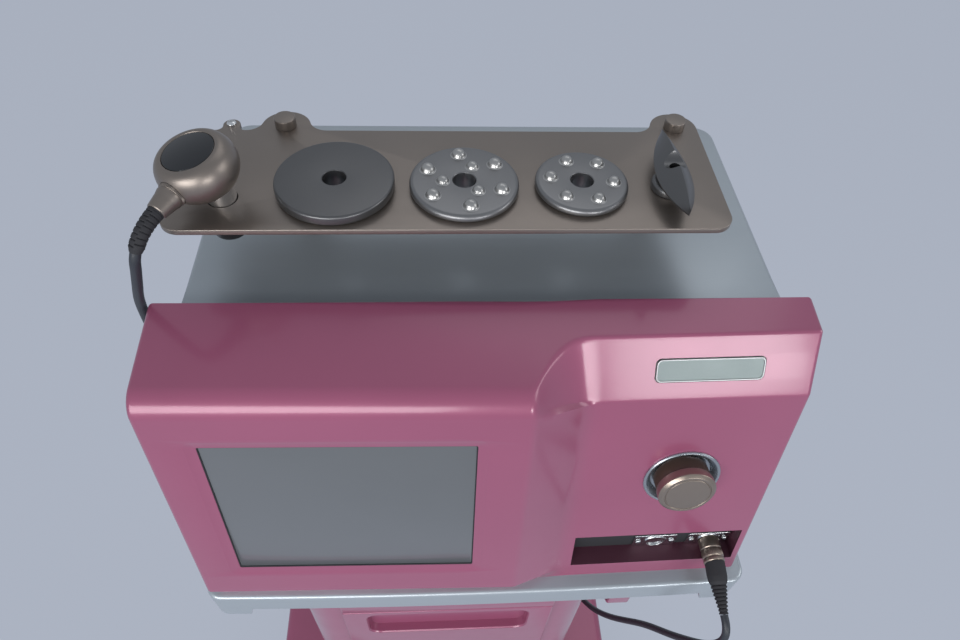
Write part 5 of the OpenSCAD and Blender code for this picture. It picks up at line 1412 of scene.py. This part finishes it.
# name, place, width and height, and power in watts
LAMPS = (
    ("key", (-1.1, -2.5, 1.7), (2.4, 1.2), 52),
    ("fill", (2.2, -0.3, 1.7), (1.0, 1.0), 7),
    ("top", (0.5, 1.2, 3.0), (2.2, 1.0), 5),
    ("front_low", (1.2, -2.2, 1.25), (1.0, 0.5), 14),
)
FILL_COLOUR, FILL_STRENGTH = (0.80, 0.86, 0.95), 0.50
FLOOR_HALF = 12.0


def stand(obj, axes, place):
    """Links a camera or a lamp, its own axes along three unit vectors and its origin at a place."""
    matrix = Matrix.Identity(4)
    for k, axis in enumerate(axes):
        for row in range(3):
            matrix[row][k] = axis[row]
    matrix.translation = place
    obj.matrix_world = matrix
    bpy.context.scene.collection.objects.link(obj)


def camera():
    """The camera looks down on the console from the front: its place and three angles, with no shift."""
    pitch, yaw, roll = CAMERA_PITCH, CAMERA_YAW, CAMERA_ROLL
    forward = np.array([math.sin(yaw) * math.cos(pitch), math.cos(yaw) * math.cos(pitch), -math.sin(pitch)])
    right = np.array([math.cos(yaw), -math.sin(yaw), 0])
    up = np.cross(right, forward)
    right, up = math.cos(roll) * right + math.sin(roll) * up, -math.sin(roll) * right + math.cos(roll) * up
    data = bpy.data.cameras.new("camera")
    data.sensor_width, data.lens = SENSOR_WIDTH, FOCAL_LENGTH
    data.clip_start, data.clip_end = 0.01, 60
    cam = bpy.data.objects.new("camera", data)
    stand(cam, (right, up, -forward), CAMERA_PLACE)
    bpy.context.scene.camera = cam


def seen_colour(name, light, share):
    """A surface that takes light and shadow, while the camera, gloss and glass mostly see the backdrop's
    colour."""
    f = Finish(name, roughness=0.9)
    f.set(base_color=f.tinted(colours().backdrop, f.noise(2, 2), 0.99, 1.01))
    path = f.tree.nodes.new("ShaderNodeLightPath")
    camera_ray, gloss, through = (Value(f.tree, path.outputs[f"Is {kind} Ray"])
                                  for kind in ("Camera", "Glossy", "Transmission"))
    glow = f.node("ShaderNodeEmission", None, {"Color": tuple(colours().backdrop), "Strength": light})
    mixed = f.node("ShaderNodeMixShader", None, {0: (camera_ray + gloss + through).clamp() * share,
                                                 1: Value(f.tree, f.shader.outputs[0]), 2: glow})
    f.tree.links.new(mixed.socket, f.out.inputs[0])
    return f.material


def lamp(name, place, size, power):
    """A white rectangular lamp that faces the console. No lamp hangs straight above it, so the level axis is
    always defined."""
    data = bpy.data.lights.new(name, "AREA")
    data.shape, data.size, data.size_y = "RECTANGLE", size[0], size[1]
    data.energy = power
    z = unit(np.array(place) - (FOOT + np.array(LAMP_TARGET)))
    x = unit(np.cross([0, 0, 1], z))
    stand(bpy.data.objects.new(name, data), (x, np.cross(z, x), z), place)


def stage():
    """A pale floor, plain soft lamps and a world of the backdrop's colour."""
    scene = bpy.context.scene
    scene.view_settings.view_transform = "Standard"
    edge = FLOOR_HALF
    floor = solid("floor", grid(np.array([[(x, -edge, 0), (x, edge, 0)] for x in (-edge, edge)])))
    floor.data.materials.append(seen_colour("floor_cloth", 1.0, 0.85))
    world = bpy.data.worlds.new("studio")
    scene.world = world
    world.use_nodes = True
    tree = world.node_tree
    tree.nodes.clear()
    out = tree.nodes.new("ShaderNodeOutputWorld")
    path = tree.nodes.new("ShaderNodeLightPath")
    seen = tree.nodes.new("ShaderNodeBackground")
    seen.inputs["Color"].default_value = (*colours().backdrop, 1)
    fill = tree.nodes.new("ShaderNodeBackground")
    fill.inputs["Color"].default_value = (*FILL_COLOUR, 1)
    fill.inputs["Strength"].default_value = FILL_STRENGTH
    mix = tree.nodes.new("ShaderNodeMixShader")
    tree.links.new(path.outputs["Is Camera Ray"], mix.inputs[0])
    tree.links.new(fill.outputs[0], mix.inputs[1])
    tree.links.new(seen.outputs[0], mix.inputs[2])
    tree.links.new(mix.outputs[0], out.inputs[0])
    for name, place, size, power in LAMPS:
        lamp(name, place, size, power)


# ---- operators ----

class Builder:
    """What the operators share: they are ordinary steps that can be undone."""
    bl_options = {"REGISTER", "UNDO"}


class MACHINE_OT_camera(Builder, bpy.types.Operator):
    """Place the camera above the front of the console"""
    bl_idname = "machine.camera"
    bl_label = "Camera"

    def execute(self, context):
        camera()
        return {"FINISHED"}


class MACHINE_OT_lead(Builder, bpy.types.Operator):
    """Build the plug and the handset's lead"""
    bl_idname = "machine.lead"
    bl_label = "Plug and lead"

    def execute(self, context):
        plug, boot = plug_pieces()
        lead_piece()
        return {"FINISHED"}


class MACHINE_OT_shell(Builder, bpy.types.Operator):
    """Build the console's pink front shell with its screen"""
    bl_idname = "machine.shell"
    bl_label = "Front shell and screen"

    def execute(self, context):
        shell_pieces()
        return {"FINISHED"}


class MACHINE_OT_controls(Builder, bpy.types.Operator):
    """Build the nameplate, the knob with its bezel and the sockets"""
    bl_idname = "machine.controls"
    bl_label = "Nameplate, knob and sockets"

    def execute(self, context):
        nameplate_piece()
        knob_pieces()
        socket_pieces()
        return {"FINISHED"}


class MACHINE_OT_cover(Builder, bpy.types.Operator):
    """Build the silver rear cover"""
    bl_idname = "machine.cover"
    bl_label = "Rear cover"

    def execute(self, context):
        cover_pieces()
        return {"FINISHED"}


class MACHINE_OT_tray(Builder, bpy.types.Operator):
    """Build the tray and the hook under it"""
    bl_idname = "machine.tray"
    bl_label = "Tray and hook"

    def execute(self, context):
        tray_piece()
        hook_piece()
        return {"FINISHED"}


class MACHINE_OT_column(Builder, bpy.types.Operator):
    """Build the column with its drawer front"""
    bl_idname = "machine.column"
    bl_label = "Column and drawer"

    def execute(self, context):
        column_pieces()
        return {"FINISHED"}


class MACHINE_OT_base(Builder, bpy.types.Operator):
    """Build the base cover and the wheels"""
    bl_idname = "machine.base"
    bl_label = "Base and wheels"

    def execute(self, context):
        base_pieces()
        return {"FINISHED"}


class MACHINE_OT_tool_plate(Builder, bpy.types.Operator):
    """Build the tool plate, its posts, nuts and screw"""
    bl_idname = "machine.tool_plate"
    bl_label = "Tool plate"

    def execute(self, context):
        plate_pieces()
        return {"FINISHED"}


class MACHINE_OT_tools(Builder, bpy.types.Operator):
    """Build the three discs and the blade"""
    bl_idname = "machine.tools"
    bl_label = "Discs and blade"

    def execute(self, context):
        disc_pieces()
        blade_piece()
        return {"FINISHED"}


class MACHINE_OT_handset(Builder, bpy.types.Operator):
    """Build the handset and its dock"""
    bl_idname = "machine.handset"
    bl_label = "Handset and dock"

    def execute(self, context):
        handset_pieces()
        return {"FINISHED"}


class MACHINE_OT_inner(Builder, bpy.types.Operator):
    """Give the inner parts their finishes"""
    bl_idname = "machine.inner"
    bl_label = "Inner parts"

    def execute(self, context):
        inner_nodes()
        return {"FINISHED"}


class MACHINE_OT_stage(Builder, bpy.types.Operator):
    """Lay the floor and hang the lamps"""
    bl_idname = "machine.stage"
    bl_label = "Stage"

    def execute(self, context):
        stage()
        return {"FINISHED"}


STEPS = (
    MACHINE_OT_camera, MACHINE_OT_lead, MACHINE_OT_shell, MACHINE_OT_controls, MACHINE_OT_cover,
    MACHINE_OT_tray,
    MACHINE_OT_column, MACHINE_OT_base, MACHINE_OT_tool_plate, MACHINE_OT_tools, MACHINE_OT_handset,
    MACHINE_OT_inner, MACHINE_OT_stage,
)


class MACHINE_PT_panel(bpy.types.Panel):
    """Sidebar panel with the sizes, colours and build steps"""
    bl_label = "Facial toning machine"
    bl_idname = "MACHINE_PT_panel"
    bl_space_type = "VIEW_3D"
    bl_region_type = "UI"
    bl_category = "Machine"

    def draw(self, context):
        for group in (context.scene.machine_sizes, context.scene.machine_colours):
            box = self.layout.box()
            for name in group.bl_rna.properties.keys():
                if name not in ("rna_type", "name"):
                    box.prop(group, name)
        for step in STEPS:
            self.layout.operator(step.bl_idname)


CLASSES = (MACHINE_PG_sizes, MACHINE_PG_colours, *STEPS, MACHINE_PT_panel)


def register():
    for cls in CLASSES:
        bpy.utils.register_class(cls)
    bpy.types.Scene.machine_sizes = PointerProperty(type=MACHINE_PG_sizes)
    bpy.types.Scene.machine_colours = PointerProperty(type=MACHINE_PG_colours)


def unregister():
    del bpy.types.Scene.machine_colours
    del bpy.types.Scene.machine_sizes
    for cls in reversed(CLASSES):
        bpy.utils.unregister_class(cls)


def main():
    register()
    for step in STEPS:
        getattr(bpy.ops.machine, step.bl_idname.split(".")[1])()


if __name__ == "__main__":
    main()
